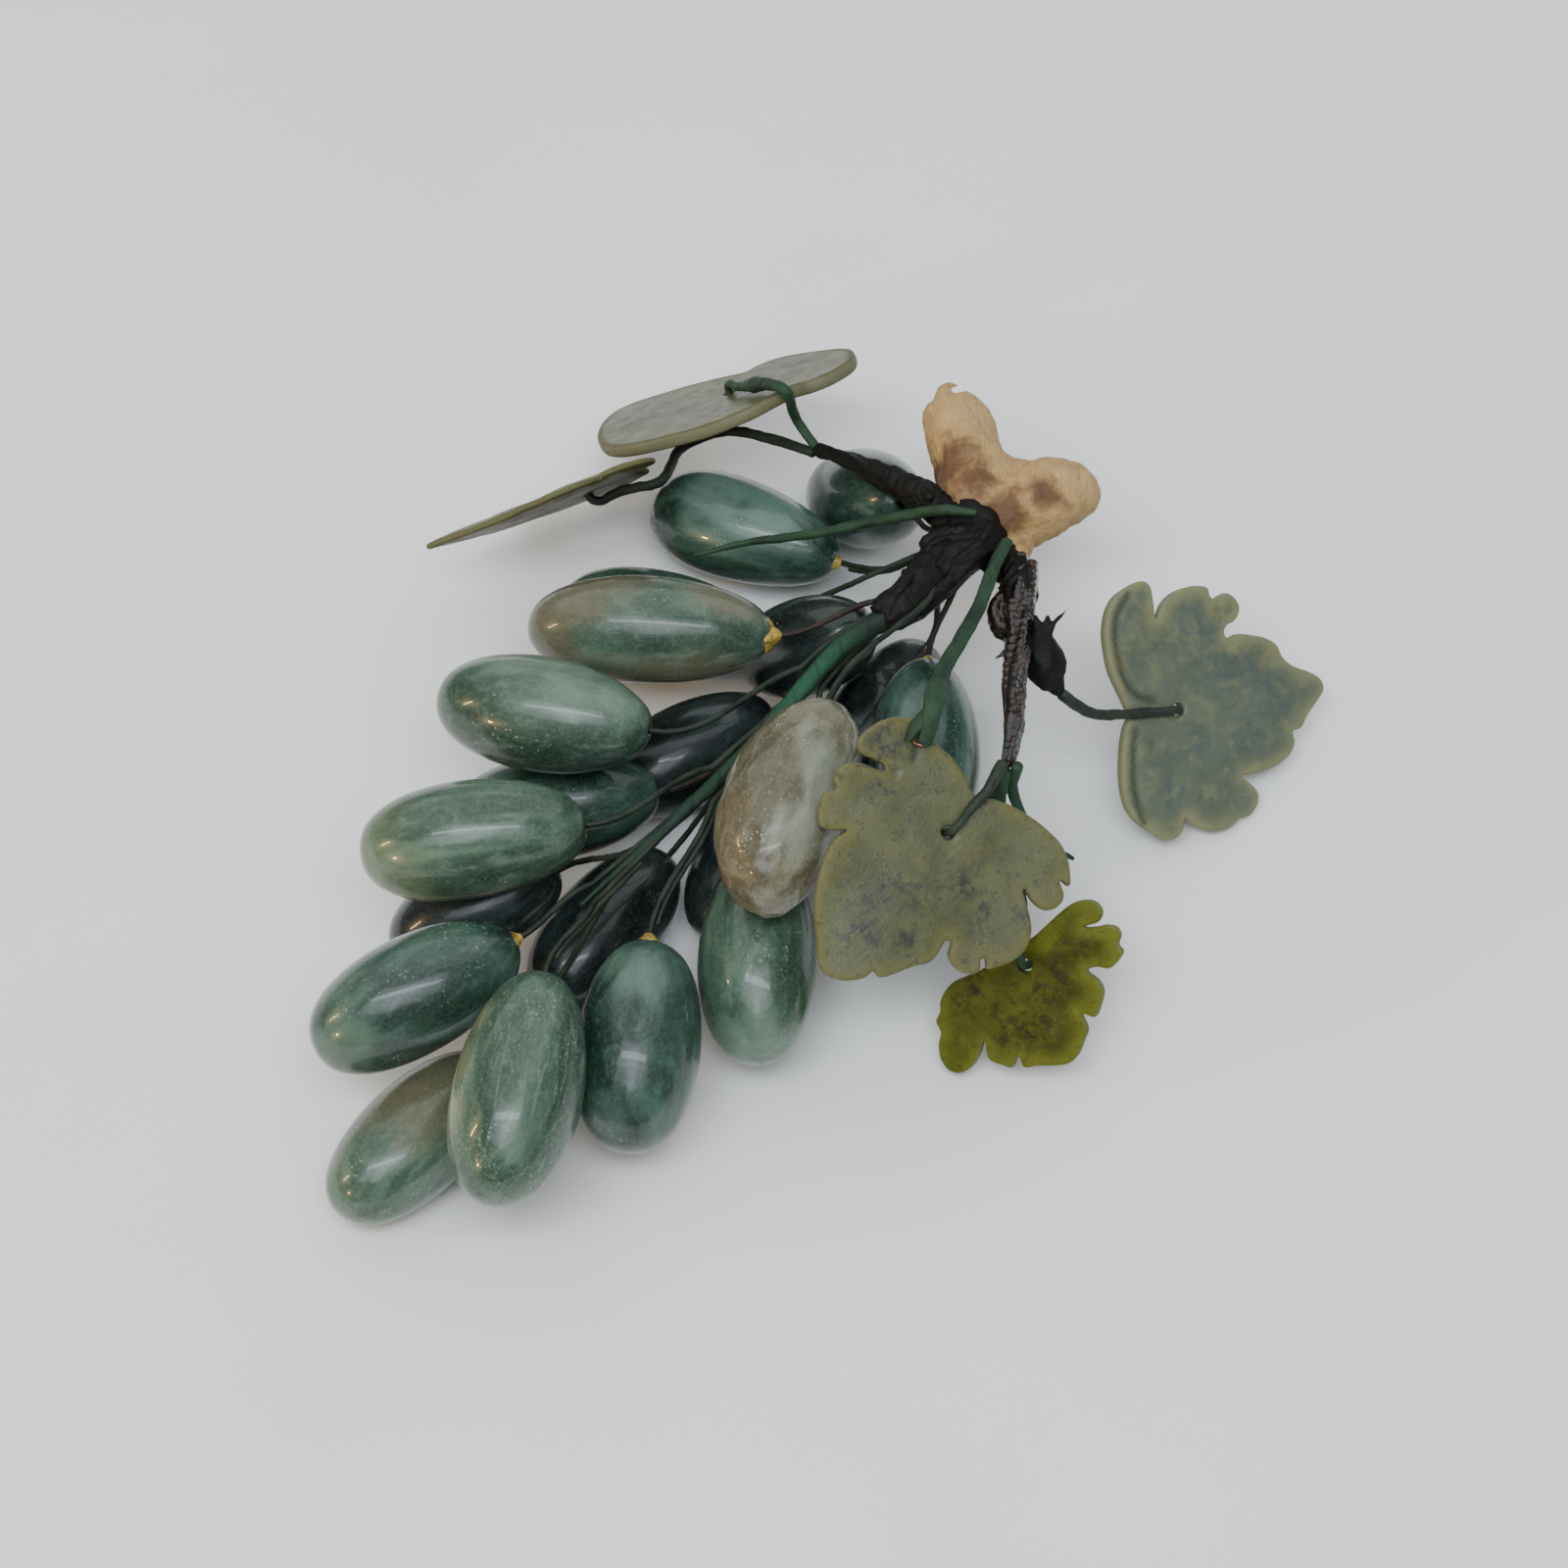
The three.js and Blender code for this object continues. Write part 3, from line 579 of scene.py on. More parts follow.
# How the hand-ground skin swells: the size of its lumps, and the height and size of its pitting
SWELL_SIZE = 9
PITTING = ((0.12, 2.6, 50), (0.1, 1.3, 51))

# Each stone's deep, middle and pale colours
STONES = {
    "teal": ("#162820", "#2c4539", "#546d60"),
    "sage": ("#273b2d", "#3d5444", "#697e6c"),
    "dusk": ("#0c1211", "#181f1f", "#364440"),
    "brown": ("#47432f", "#5f5b47", "#837f6b"),
}

# What sets each grape apart. joins is how far along the rachis its wire comes in, and via are spots
# that the wire goes through on its way. cloud is how much of the pale colour the grape has, fleck how
# many specks, streak how short its drifts of colour are, and veins gives it pale lines. fat is how
# far its free end is swollen and bend how far it is bent, in millimetres. pits is how rough it is,
# and glue the size of the blob in its end. tints are further colours with their strength, their reach
# in millimetres and the places where they lie
# Some tints are painted light: the pale ones on the upper sides of grapes 1, 2, 4 and 9 are painted sheen,
# and the dark ones on the lower sides of grapes 4 and 5 painted shade.
GRAPES = {
    # Its pale tint on the upper side is painted sheen.
    "grape_01": {"stone": "teal", "joins": 0.08, "cloud": 0.55, "fleck": 0.25, "glue": 0.7, "fat": 0.4,
                 "tints": [("#5f786c", 0.8, 7.5, [(1, 7, -4), (2, 7, 5)])]},
    # Its pale tint on the upper side is painted sheen.
    "grape_02": {"stone": "teal", "joins": 0.05, "cloud": 0.5, "fleck": 0.2,
                 "tints": [("#4d6356", 0.6, 5, [(4, 7, 2), (6, 5, -6)])]},
    "grape_03": {"stone": "sage", "joins": 0.33, "cloud": 0.7, "fleck": 0.3, "glue": 1.25, "streak": 0.3,
                 "tints": [("#55503c", 0.95, 6.5, [(1, 7, -10), (-3, 4, -15), (5, 6, -4)]),
                           ("#5d5844", 0.9, 6, [(-7, -1, 9), (-8, -2, 3), (-5, -4, -5), (3, 6, 12)])]},
    # Its pale tint on the upper side is painted sheen, and its dark tint on the lower side painted shade.
    "grape_04": {"stone": "sage", "joins": 0.5, "cloud": 0.45, "fleck": 0.7, "streak": 0.3,
                 "tints": [("#6f8272", 0.45, 6, [(2, 7.5, 4), (3, 7, -3), (1, 5, 12)]),
                           ("#22342b", 0.75, 6, [(-7, 1, 9), (-8, 0, -2), (-8, 1, 4), (-7, 3, -9)])]},
    # Its second, dark tint on the lower side by the stem end is painted shade.
    "grape_05": {"stone": "sage", "joins": 0.72, "cloud": 0.8, "fleck": 0.35, "streak": 0.16,
                 "tints": [("#66704e", 0.45, 6, [(-4, 4, -14), (2, 6, -13), (-7, 0, -9)]),
                           ("#2c3e31", 0.4, 4, [(-7, 2.3, 8), (-5, 4, 13)])]},
    "grape_06": {"stone": "teal", "joins": 0.97, "cloud": 0.35, "fleck": 0.8, "glue": 0.8,
                 "tints": [("#596d5b", 0.5, 5, [(-4.5, 4, -12), (4, 6, -10)])]},
    "grape_07": {"stone": "sage", "joins": 0.94, "cloud": 0.5, "fleck": 0.5,
                 "tints": [("#57513a", 0.85, 7, [(1, 8, 2), (5, 6, 0), (0, 7, 9)])]},
    "grape_08": {"stone": "sage", "joins": 0.99, "cloud": 0.6, "fleck": 1.1, "streak": 0.12, "veins": True,
                 "tints": [("#6c7150", 0.7, 3.6, [(7.8, 4, -6), (8, 4, 1), (7, 4, 8)]),
                           ("#22342a", 0.5, 5, [(-6, 5, 0), (-6, 5, 8)])]},
    # Its pale tints on the upper side are painted sheen.
    "grape_09": {"stone": "teal", "joins": 0.76, "cloud": 0.5, "fleck": 0.3, "glue": 0.8,
                 "tints": [("#587263", 0.6, 4.5, [(1.3, 7.1, 9), (4, 5, 11)]),
                           ("#4d6356", 0.5, 5, [(2.7, 6.6, -12)])]},
    "grape_10": {"stone": "sage", "joins": 0.5, "cloud": 0.35, "fleck": 1.0,
                 "tints": [("#6a7d6b", 0.6, 4.5, [(3.5, 3.9, -14), (-3, 4, -13)])]},
    "grape_11": {"stone": "brown", "joins": 0.27, "cloud": 0.8, "fleck": 1.2, "bend": 1.3, "pits": 1.0,
                 "tints": [("#878f7e", 0.55, 4.6, [(-3.7, 7.5, -7), (-5.5, 6, 0), (-3, 7.5, 4)]),
                           ("#5a4930", 0.6, 4.5, [(4.4, 4.3, -13.6), (6, 5, -7)])]},
    "grape_12": {"stone": "dusk", "joins": 0.62, "cloud": 0.4, "fleck": 0.2},
    "grape_13": {"stone": "dusk", "joins": 0.52, "cloud": 0.35, "fleck": 0.2},
    "grape_14": {"stone": "teal", "joins": 0.54, "cloud": 0.3, "fleck": 0.2},
    "grape_15": {"stone": "dusk", "joins": 0.38, "cloud": 0.45, "fleck": 0.2,
                 "via": [(2.6, 2.4, 12.6), (6.2, -0.2, 20.6)]},
    "grape_16": {"stone": "dusk", "joins": 0.24, "cloud": 0.4, "fleck": 0.2},
    "grape_17": {"stone": "teal", "joins": 0.12, "cloud": 0.3, "fleck": 0.2,
                 "via": [(2, 24.5, 11.5), (10, 23.5, 19.5)]},
    "grape_18": {"stone": "dusk", "joins": 0.16, "cloud": 0.4, "fleck": 0.2, "glue": 0.8},
    "grape_19": {"stone": "teal", "joins": 0.18, "cloud": 0.6, "fleck": 0.5, "glue": 0.7},
    "grape_20": {"stone": "dusk", "joins": 0.9, "cloud": 0.45, "fleck": 0.2},
}


def read_grape(name):
    """A grape's place and sizes, from its CAD node and the wire in its drilled end."""
    body = spots_of(name)
    wire = spots_of(name.replace("grape", "grape_wire"))
    near = np.linalg.norm(wire - (body.min(axis=0) + body.max(axis=0)) / 2, axis=1)
    inside = wire[np.argsort(near)[:WIRE_CORNERS]].mean(axis=0)
    free_end = body[np.argmax(np.linalg.norm(body - inside, axis=1))]
    outwards = unit(free_end - inside)
    length = np.linalg.norm(free_end - inside) + HOLE_DEPTH - WIRE_INSET
    middle = free_end - outwards * length / 2
    along = -(body - middle) @ outwards / (length / 2)
    away = np.linalg.norm(body - middle + np.outer(along * length / 2, outwards), axis=1)
    whole = (np.abs(along) < MEASURED_SHARE) & (away > 1.2 * HOLE_RADIUS) & (body[:, 2] > SEAT_TOP)
    fit = away[whole] / (1 - along[whole] ** 2) ** (FULLNESS / 2)
    slope, half = np.polyfit(along[whole], fit, 1)
    return {
        "middle": middle, "outwards": outwards, "length": length, "half": half, "taper": -slope / half,
        "seated": body[:, 2].min() < SEAT_LEVEL,
    }


def grape_place(grape):
    """The turn of a grape: z runs up to its stem end, and y is its upper side."""
    stemwards = -grape["outwards"]
    across = unit(np.cross(UP, stemwards))
    return np.column_stack([across, np.cross(stemwards, across), stemwards])


def grape_profile(grape):
    """Half outline of a grape, from its free end round to the drilled hole and its floor."""
    half_length = grape["length"] / 2
    rim = HOLE_RADIUS + HOLE_BEVEL
    last_turn = math.pi - (rim / grape["half"] / (1 - grape["taper"])) ** (1 / FULLNESS)
    turns = last_turn * np.linspace(0, 1, GRAPE_RINGS + 1)[1:]
    along = -np.cos(turns)
    radii = grape["half"] * np.sin(turns) ** FULLNESS * (1 - grape["taper"] * along)
    profile = [(0, -half_length), *zip(radii, along * half_length)]
    top = along[-1] * half_length
    return profile + [
        (HOLE_RADIUS, top - HOLE_BEVEL), (HOLE_RADIUS - 0.02, top - 0.6),
        (HOLE_RADIUS - 0.05, top - HOLE_DEPTH + 0.4), (0, top - HOLE_DEPTH + 0.3),
    ]


def grape_shape(grape, look, unevenness, seed):
    """A grape's skin about its own middle, swollen a little as a hand-ground stone is."""
    points, faces = lathe(grape_profile(grape), GRAPE_TURNS)
    half_length = grape["length"] / 2
    share = points[:, 2] / half_length
    away = np.linalg.norm(points[:, :2], axis=1)
    outside = eased(away, HOLE_RADIUS, HOLE_RADIUS + 2) * (1 - eased(share, 0.8, 1))
    outside = (outside + eased(-share, 0.3, 0.6)).clip(0, 1)
    outwards = points * [1, 1, grape["half"] / half_length]
    outwards /= np.linalg.norm(outwards, axis=1)[:, None]
    swell = unevenness * lumps(points * [1, 1, 0.6], SWELL_SIZE, seed) * outside
    rough = sum(height * lumps(points, size, seed + more) for height, size, more in PITTING)
    swell += look.get("pits", 0) * rough * outside
    swell += look.get("fat", 0) * eased(-share, -0.1, 0.8) * (away / grape["half"])
    points += outwards * swell[:, None]
    points[:, 0] += look.get("bend", 0) * (1 - share ** 2 - 0.5)
    turn = grape_place(grape)
    bench = points @ turn.T + grape["middle"]
    bench[:, 2] = np.maximum(bench[:, 2], 0.0 if grape["seated"] else SEAT_TOP)
    return (bench - grape["middle"]) @ turn, faces


def stone(name, look, settings, seed):
    """Polished hardstone: drifts of colour along the grape, pale specks and small pits."""
    mix = Mix(name)
    deep, middle, pale = (colour(code) for code in STONES[look["stone"]])
    spot = mix.stretched(mix.own(), (1, 1, 1), shift=(7.3 * seed, 3.1 * seed, 5.7 * seed))
    streaked = mix.stretched(spot, (1, 1, look.get("streak", 0.45)), turn=(0.12, 0.2, 0))
    drift = mix.noise(streaked, 7.0, 5, 0.58, 0.5)
    fibre = mix.noise(mix.stretched(spot, (1, 1, 0.14), turn=(0.1, -0.15, 0)), 1.6, 5, 0.6, 0.3)
    grain = mix.noise(spot, 0.55, 4, 0.65)
    base = mix.layer(deep, middle, drift, 0.32, 0.6)
    cloudy = mix.plus(mix.times(drift, 0.7), mix.times(fibre, 0.45))
    base = mix.layer(base, pale, cloudy, 0.52, 0.78, look["cloud"])
    # Tints: the stone's own colours, and on some grapes painted sheen or painted shade.
    for i, (shade, strength, *_) in enumerate(look.get("tints", ())):
        tinted = mix.plus(mix.field(f"tint_{i}"), mix.times(mix.off_middle(drift), 1.8))
        base = mix.layer(base, colour(shade), tinted, 0.1, 0.85, strength)
    mottle = mix.noise(mix.stretched(spot, (1, 1, 0.6)), 1.7, 6, 0.66, 0.5)
    base = mix.layer(base, pale, mottle, 0.5, 0.74, 0.4)
    base = mix.layer(base, deep, mottle, 0.5, 0.3, 0.22)
    base = mix.layer(base, pale, grain, 0.45, 0.75, 0.3)
    if "veins" in look:
        lines = mix.noise(mix.stretched(spot, (1, 1, 0.05)), 2.6, 3, 0.5, 0.2)
        base = mix.layer(base, pale, mix.sum("ABSOLUTE", mix.off_middle(lines)), 0.016, 0.0, 0.42)
    thickness = look["fleck"] * settings.flecks
    where = mix.remap(mix.noise(spot, 6.5, 3, 0.5), 0.62 - 0.2 * thickness, 0.76, 0.05, 1)
    near, tint = mix.cells(spot, 0.62)
    size = mix.times(mix.add("SeparateColor", {0: tint}).outputs[0], 0.3)
    speck = mix.times(mix.remap(mix.sum("SUBTRACT", near, size), 0.06, -0.04), where)
    base = mix.blend(mix.times(speck, 0.6), base, colour("#a6b6a4"))
    rusts = mix.noise(mix.stretched(spot, (1, 1, 0.5), shift=(40, 0, 0)), 5.5, 6, 0.7)
    base = mix.layer(base, colour("#6b5238"), rusts, 0.66, 0.76, 0.35)
    pits = mix.plus(mix.times(grain, 0.25), mix.times(speck, look.get("pits", 0.15)))
    worn = mix.plus(grain, mix.times(speck, 0.5))
    rough = mix.remap(worn, 0.3, 1.2, settings.polish - 0.03, settings.polish + 0.12)
    return mix.finish({
        "Base Color": base, "Roughness": rough, "IOR": 1.42,
        "Coat Weight": 0.5, "Coat Roughness": 0.03, "Coat IOR": 1.45,
        "Subsurface Weight": 0.1, "Subsurface Radius": (1.0, 1.2, 1.0), "Subsurface Scale": 0.8 * MM,
        "Normal": mix.bump(pits, 0.014 + 0.05 * look.get("pits", 0)),
    })


def glue_material(settings):
    """Old yellowed glue: cloudy, slightly glossy and see-through at its edge."""
    mix = Mix("old_glue")
    spot = mix.own()
    cloud = mix.noise(spot, 1.4, 5, 0.6)
    base = mix.layer(tuple(settings.glue), colour("#6d5a22"), cloud, 0.35, 0.65)
    base = mix.layer(base, colour("#e0c878"), mix.noise(spot, 0.5, 3, 0.5), 0.5, 0.7, 0.6)
    return mix.finish({
        "Base Color": base, "Roughness": mix.remap(cloud, 0.3, 0.7, 0.25, 0.5),
        "Subsurface Weight": 0.3, "Subsurface Radius": (1.0, 0.8, 0.3), "Subsurface Scale": 0.6 * MM,
        "Normal": mix.bump(cloud, 0.25),
    })


GLUE_TURNS = 28


def glue_shape(grape, size, seed):
    """A blob of glue that fills the drilled end and runs a little way down one side."""
    top = grape["length"] / 2
    points, faces = lathe([
        (0, -2.0), (0.7, -2.0), (0.95, -1.0), (1.5 * size, -0.55), (1.85 * size, -0.25),
        (1.8 * size, 0.12), (1.45 * size, 0.42), (size, 0.66), (0.66, size + 0.1),
        (0.5, 1.25 * size), (0, 1.3 * size),
    ], GLUE_TURNS)
    away = np.linalg.norm(points[:, :2], axis=1)
    reach = grape["half"] * (1 - grape["taper"])
    points[:, 2] += top - top * (1 - np.sqrt(np.clip(1 - (away / reach) ** 2, 0.3, 1)))
    uneven = 1 + 0.28 * lumps(points * [1, 1, 0.3], 2.0, seed)
    points[:, :2] *= uneven[:, None]
    points[:, 2] += 0.1 * lumps(points, 1.1, seed + 1)
    return points, faces


class GRAPES_OT_stones(Operator):
    """Build the twenty polished grapes, with the old glue in their drilled ends"""

    bl_idname = "grape_bunch.stones"
    bl_label = "Grapes"

    def execute(self, context):
        settings = context.scene.bunch_grapes
        glue = glue_material(settings)
        for seed, (name, look) in enumerate(GRAPES.items(), start=1):
            grape = read_grape(name)
            turn, middle = grape_place(grape).T, grape["middle"]
            points, faces = grape_shape(grape, look, settings.unevenness, seed)
            tints = {
                f"tint_{i}": nearness(points, reach, spots)
                for i, (_, _, reach, spots) in enumerate(look.get("tints", ()))
            }
            make_piece(name + "_stone", points @ turn + middle, faces,
                       stone(name + "_stone", look, settings, seed),
                       [name], own=points, fields=tints)
            if "glue" in look:
                points, faces = glue_shape(grape, look["glue"], seed)
                make_piece(name + "_glue", points @ turn + middle, faces, glue,
                           own=points)
        return {"FINISHED"}


# Tape and wire

def tape_material(name, shade, pale, glossy, shine, upper=None):
    """Cloth tape wound on wire: lengthwise threads, soiled patches, turns darker along their edges and a
    worn shine. Given upper, a painted highlight of that colour lies on the tape's upper side.
    """
    mix = Mix(name)
    straight = mix.own()
    threads = mix.noise(mix.stretched(straight, (0.1, 1, 1)), 0.28, 4, 0.6)
    soil = mix.noise(mix.stretched(straight, (0.4, 1, 1)), 3.2, 5, 0.6, 0.4)
    base = mix.layer(shade, pale, soil, 0.38, 0.64)
    if upper is not None:
        # Painted highlight: the upper colour laid where the tape faces up, over the stretch that the upper
        # field gives.
        showing = mix.times(mix.field("upper"), mix.remap(soil, 0.25, 0.5, 0.6, 1))
        base = mix.blend(showing, base, upper)
    base = mix.layer(base, pale, threads, 0.46, 0.7, 0.3)
    base = mix.layer(base, colour("#0a0f0d"), threads, 0.45, 0.3, 0.5)
    # Each turn of tape is darker along its edge, where the next turn laps on.
    base = mix.layer(base, colour("#080b0a"), mix.field("lap"), 0.2, 0.0, 0.5)
    height = mix.plus(threads, mix.times(soil, 0.8))
    mix.finish({
        "Base Color": base, "Roughness": mix.remap(soil, 0.3, 0.7, glossy, glossy + 0.22),
        "Specular IOR Level": shine, "Normal": mix.bump(height, 0.12),
    })


def tape_materials(settings):
    """The tapes and bindings, made once under their names."""
    tape_material("green_tape_wound", tuple(settings.green), colour("#234029"), 0.5, 0.35)
    # The rachis tape, which gets the painted highlight on its upper side.
    tape_material("green_tape_painted_highlight", colour("#0b150d"), colour("#13271a"), 0.5, 0.35,
                  tuple(settings.highlight_green))
    tape_material("grape_wire_tape", colour("#111811"), colour("#2a3427"), 0.45, 0.3)
    tape_material("reddish_wire_tape", colour("#1a130d"), colour("#35281d"), 0.45, 0.3)
    tape_material("dark_tape_wound", tuple(settings.dark), colour("#12100b"), 0.45, 0.2)


def strand_material(settings):
    """Glossy dark binding drawn out in strands, brown where it is thin, with painted reflections as pale
    streaks.
    """
    mix = Mix("glossy_strands")
    spot = mix.own()
    streaks = mix.noise(mix.stretched(spot, (1, 0.12, 0.25)), 0.6, 4, 0.6, 0.2)
    patches = mix.noise(mix.stretched(spot, (1, 0.5, 1)), 3.0, 4, 0.6)
    base = mix.layer(tuple(settings.dark), colour("#2b1c14"), streaks, 0.4, 0.62)
    base = mix.layer(base, colour("#3b2519"), patches, 0.54, 0.7, 0.7)
    # Pale streaks: painted reflections along the strands.
    base = mix.layer(base, colour("#857b6e"), streaks, 0.6, 0.72, 0.25)
    return mix.finish({
        "Base Color": base, "Roughness": mix.remap(patches, 0.35, 0.65, 0.14, 0.3), "IOR": 1.5,
        "Coat Weight": 0.4, "Coat Roughness": 0.12,
        "Normal": mix.bump(streaks, 0.06),
    })


def into_lap(along, turn, lap):
    """How far into its turn of tape each spot is, from 0 at the tape's edge to 1."""
    place = along / lap + turn / (2 * math.pi)
    return place - np.floor(place)


def wound(base, lap, raised, crumple, seed):
    """A tube radius for tape laid in overlapping turns."""
    def radius(share, along, turn, points):
        into = into_lap(along, turn, lap)
        girth = base(share) if callable(base) else base
        girth = girth + raised * (eased(into, 0, 0.16) - 0.6 * into)
        return girth + crumple * lumps(points, 1.8, seed) + 0.4 * crumple * lumps(points, 0.8, seed + 9)
    return radius


def lap_of(straight, lap):
    """How far into its turn of tape each point of a straightened bar is."""
    turn = np.arctan2(straight[:, 2], straight[:, 1]) % (2 * math.pi)
    return into_lap(straight[:, 0], turn, lap)


def taped_piece(name, path, base, material, slot, replaced=(), lap=2.6, raised=0.12, crumple=0.05,
                sides=16, seed=1, flat=1.0):
    """A wire or bundle with tape wound on it."""
    points, faces, straight = tube(path, wound(base, lap, raised, crumple, seed), sides, flat=flat)
    make_piece(name, points, faces, material, replaced, own=straight,
               fields={"lap": lap_of(straight, lap)})


GRAPE_WIRE_RADIUS = 0.45
GRAPE_TAPE = {"lap": 1.7, "crumple": 0.03, "sides": 10}
GRAPE_WIRE_STEP = 0.32
DOUBLE_WIRES = ("grape_01", "grape_08", "grape_09")
STRAND_ENDS = slice(20, -20)
STRAND_DISTANCE = 0.8
REDDISH_WIRES = ("grape_03", "grape_14", "grape_18", "grape_19")
CLEARANCE = 0.3
REACH = 0.35
BEZIER_STEPS = 40
CREEP = 0.13
CREEP_STEPS = 12
AHEAD = 0.02


def girth_at(girth, place):
    """The radius of a taper, given as places and radii, at one place."""
    return np.interp(place, *girth)


def grape_wire_path(grape, look):
    """Out of the drilled end, along to the side of the rachis that faces it, and up beside it."""
    stem_end = grape["middle"] - grape["outwards"] * grape["length"] / 2
    def beyond(distance):
        return stem_end - grape["outwards"] * distance
    joins = look["joins"]
    centre = curve(RACHIS_SPOTS, joins)
    distal = unit(curve(RACHIS_SPOTS, min(1, joins + AHEAD)) - curve(RACHIS_SPOTS, joins - AHEAD))
    side = stem_end - centre
    side = unit(side - distal * (side @ distal))
    joint = centre + side * (girth_at(RACHIS_GIRTH, joins) + GRAPE_WIRE_RADIUS + CLEARANCE)
    reach = np.linalg.norm(stem_end - joint) * REACH
    if "via" in look:
        spots = [beyond(0.5), beyond(3), *look["via"], joint]
        run = curve(spots, np.linspace(0, 1, BEZIER_STEPS))
    else:
        lead = joint + distal * reach * 0.8 + side * reach * 0.5
        start, pull = beyond(0.5), beyond(0.5 + reach)
        t = np.linspace(0, 1, BEZIER_STEPS)[:, None]
        run = (1 - t) ** 3 * start + 3 * t * (1 - t) ** 2 * pull
        run = run + 3 * t * t * (1 - t) * lead + t ** 3 * joint
    crept = []
    for share in np.linspace(0, 1, CREEP_STEPS)[1:]:
        place = max(AHEAD, joins - CREEP * share)
        ahead = unit(curve(RACHIS_SPOTS, place + AHEAD) - curve(RACHIS_SPOTS, max(0, place - AHEAD)))
        out = unit(side - ahead * (side @ ahead))
        lift = GRAPE_WIRE_RADIUS + CLEARANCE - share * (2 * GRAPE_WIRE_RADIUS + CLEARANCE)
        crept.append(curve(RACHIS_SPOTS, place) + out * (girth_at(RACHIS_GIRTH, place) + lift))
    return np.vstack([beyond(CLEARANCE - HOLE_DEPTH), run, crept])


class GRAPES_OT_wires(Operator):
    """Build the taped wire of each grape, from its drilled end to where it joins the rachis"""

    bl_idname = "grape_bunch.wires"
    bl_label = "Grape wires"

    def execute(self, context):
        tapes = bpy.data.materials
        for seed, (name, look) in enumerate(GRAPES.items(), start=101):
            path = evenly(grape_wire_path(read_grape(name), look), GRAPE_WIRE_STEP)
            wire = name.replace("grape", "grape_wire")
            tape = tapes["reddish_wire_tape" if name in REDDISH_WIRES else "grape_wire_tape"]
            taped_piece(wire + "_taped", path, GRAPE_WIRE_RADIUS - 0.03, tape, "green_tape", [wire],
                        raised=0.06, seed=seed, **GRAPE_TAPE)
            if name in DOUBLE_WIRES:
                beside = (path + STRAND_DISTANCE * sides_of(path)[1])[STRAND_ENDS]
                taped_piece(wire + "_strand", beside, GRAPE_WIRE_RADIUS - 0.12,
                            tapes["grape_wire_tape"], "green_tape", raised=0.05, seed=seed + 50,
                            **GRAPE_TAPE)
        return {"FINISHED"}


# Which shares of the rachis the dark binding and the green tape cover, and the stretches, in
# millimetres along the tape, over which the painted highlight on its upper side comes up and fades
BOUND_UP_TO = 0.4
TAPED_FROM = 0.29
HIGHLIGHT_FROM = (6, 19)
HIGHLIGHT_TO = (22, 44)


class GRAPES_OT_rachis(Operator):
    """Build the taped bundle that the grapes hang from, and the knot of binding at its root"""

    bl_idname = "grape_bunch.rachis"
    bl_label = "Rachis and hub"

    def execute(self, context):
        settings = context.scene.bunch_tape
        tape_materials(settings)
        dark, highlight_green = (bpy.data.materials[name] for name in ("dark_tape_wound", "green_tape_painted_highlight"))
        path, shares = route(RACHIS_SPOTS, 0.3)
        bound = shares < BOUND_UP_TO
        taped = shares > TAPED_FROM
        self.bar("rachis_binding", path[bound], shares[bound], dark, ["rachis"], 0.12, 9,
                 settings.lap * 1.3, 1.06)
        self.bar("rachis_taped", path[taped], shares[taped], highlight_green, [], 0.06, 3,
                 settings.lap * 2.2, 0.86)
        self.hub(dark)
        return {"FINISHED"}

    def bar(self, name, path, shares, material, replaced, crumple, strands, lap, scale):
        """One stretch of the rachis, its strands showing through the tape."""
        lengths = np.linspace(0, 1, len(shares))
        def girth(share):
            return np.interp(np.interp(share, lengths, shares), *RACHIS_GIRTH)
        wrap = wound(girth, lap, 0.1, crumple, 31)
        def radius(share, along, turn, points):
            rope = 0.07 * np.abs(np.cos(strands * turn / 2 - along * 0.1)) - 0.03
            return wrap(share, along, turn, points) * (1 + rope) * scale * (1 - 0.6 * eased(share, 0.75, 1))
        points, faces, straight = tube(path, radius, 40)
        along, turn = straight[:, 0], np.arctan2(straight[:, 2], straight[:, 1])
        marks = np.linspace(0, along.max(), len(path))
        _, across, other = sides_of(path)
        lifts = np.interp(along, marks, across[:, 2])
        rises = np.interp(along, marks, other[:, 2])
        # How far each point faces up, faded in and out along the tape: where the painted highlight lies.
        upper = eased(lifts * np.cos(turn) + rises * np.sin(turn), 0.15, 0.8)
        upper = upper * eased(along, *HIGHLIGHT_FROM) * (1 - 0.8 * eased(along, *HIGHLIGHT_TO))
        make_piece(name, points, faces, material, replaced, own=straight,
                   fields={"lap": lap_of(straight, lap), "upper": upper})

    def hub(self, material):
        """Crumpled binding where all the wires meet under the wood."""
        points, faces, outwards = fused(bars(HUB_RUNS, 0.8, 20), 0.32, 3)
        drawn = points - 0.75 * (points @ FOOT_FACING)[:, None] * FOOT_FACING
        folds = 0.35 * creases(points, 5, 71) + 0.4 * creases(drawn, 1.9, 72)
        folds = folds + 0.12 * creases(drawn, 0.9, 73) - 0.4
        points += outwards * folds[:, None]
        make_piece("hub_binding", points, faces, material, own=points,
                   fields={"lap": np.ones(len(points))})


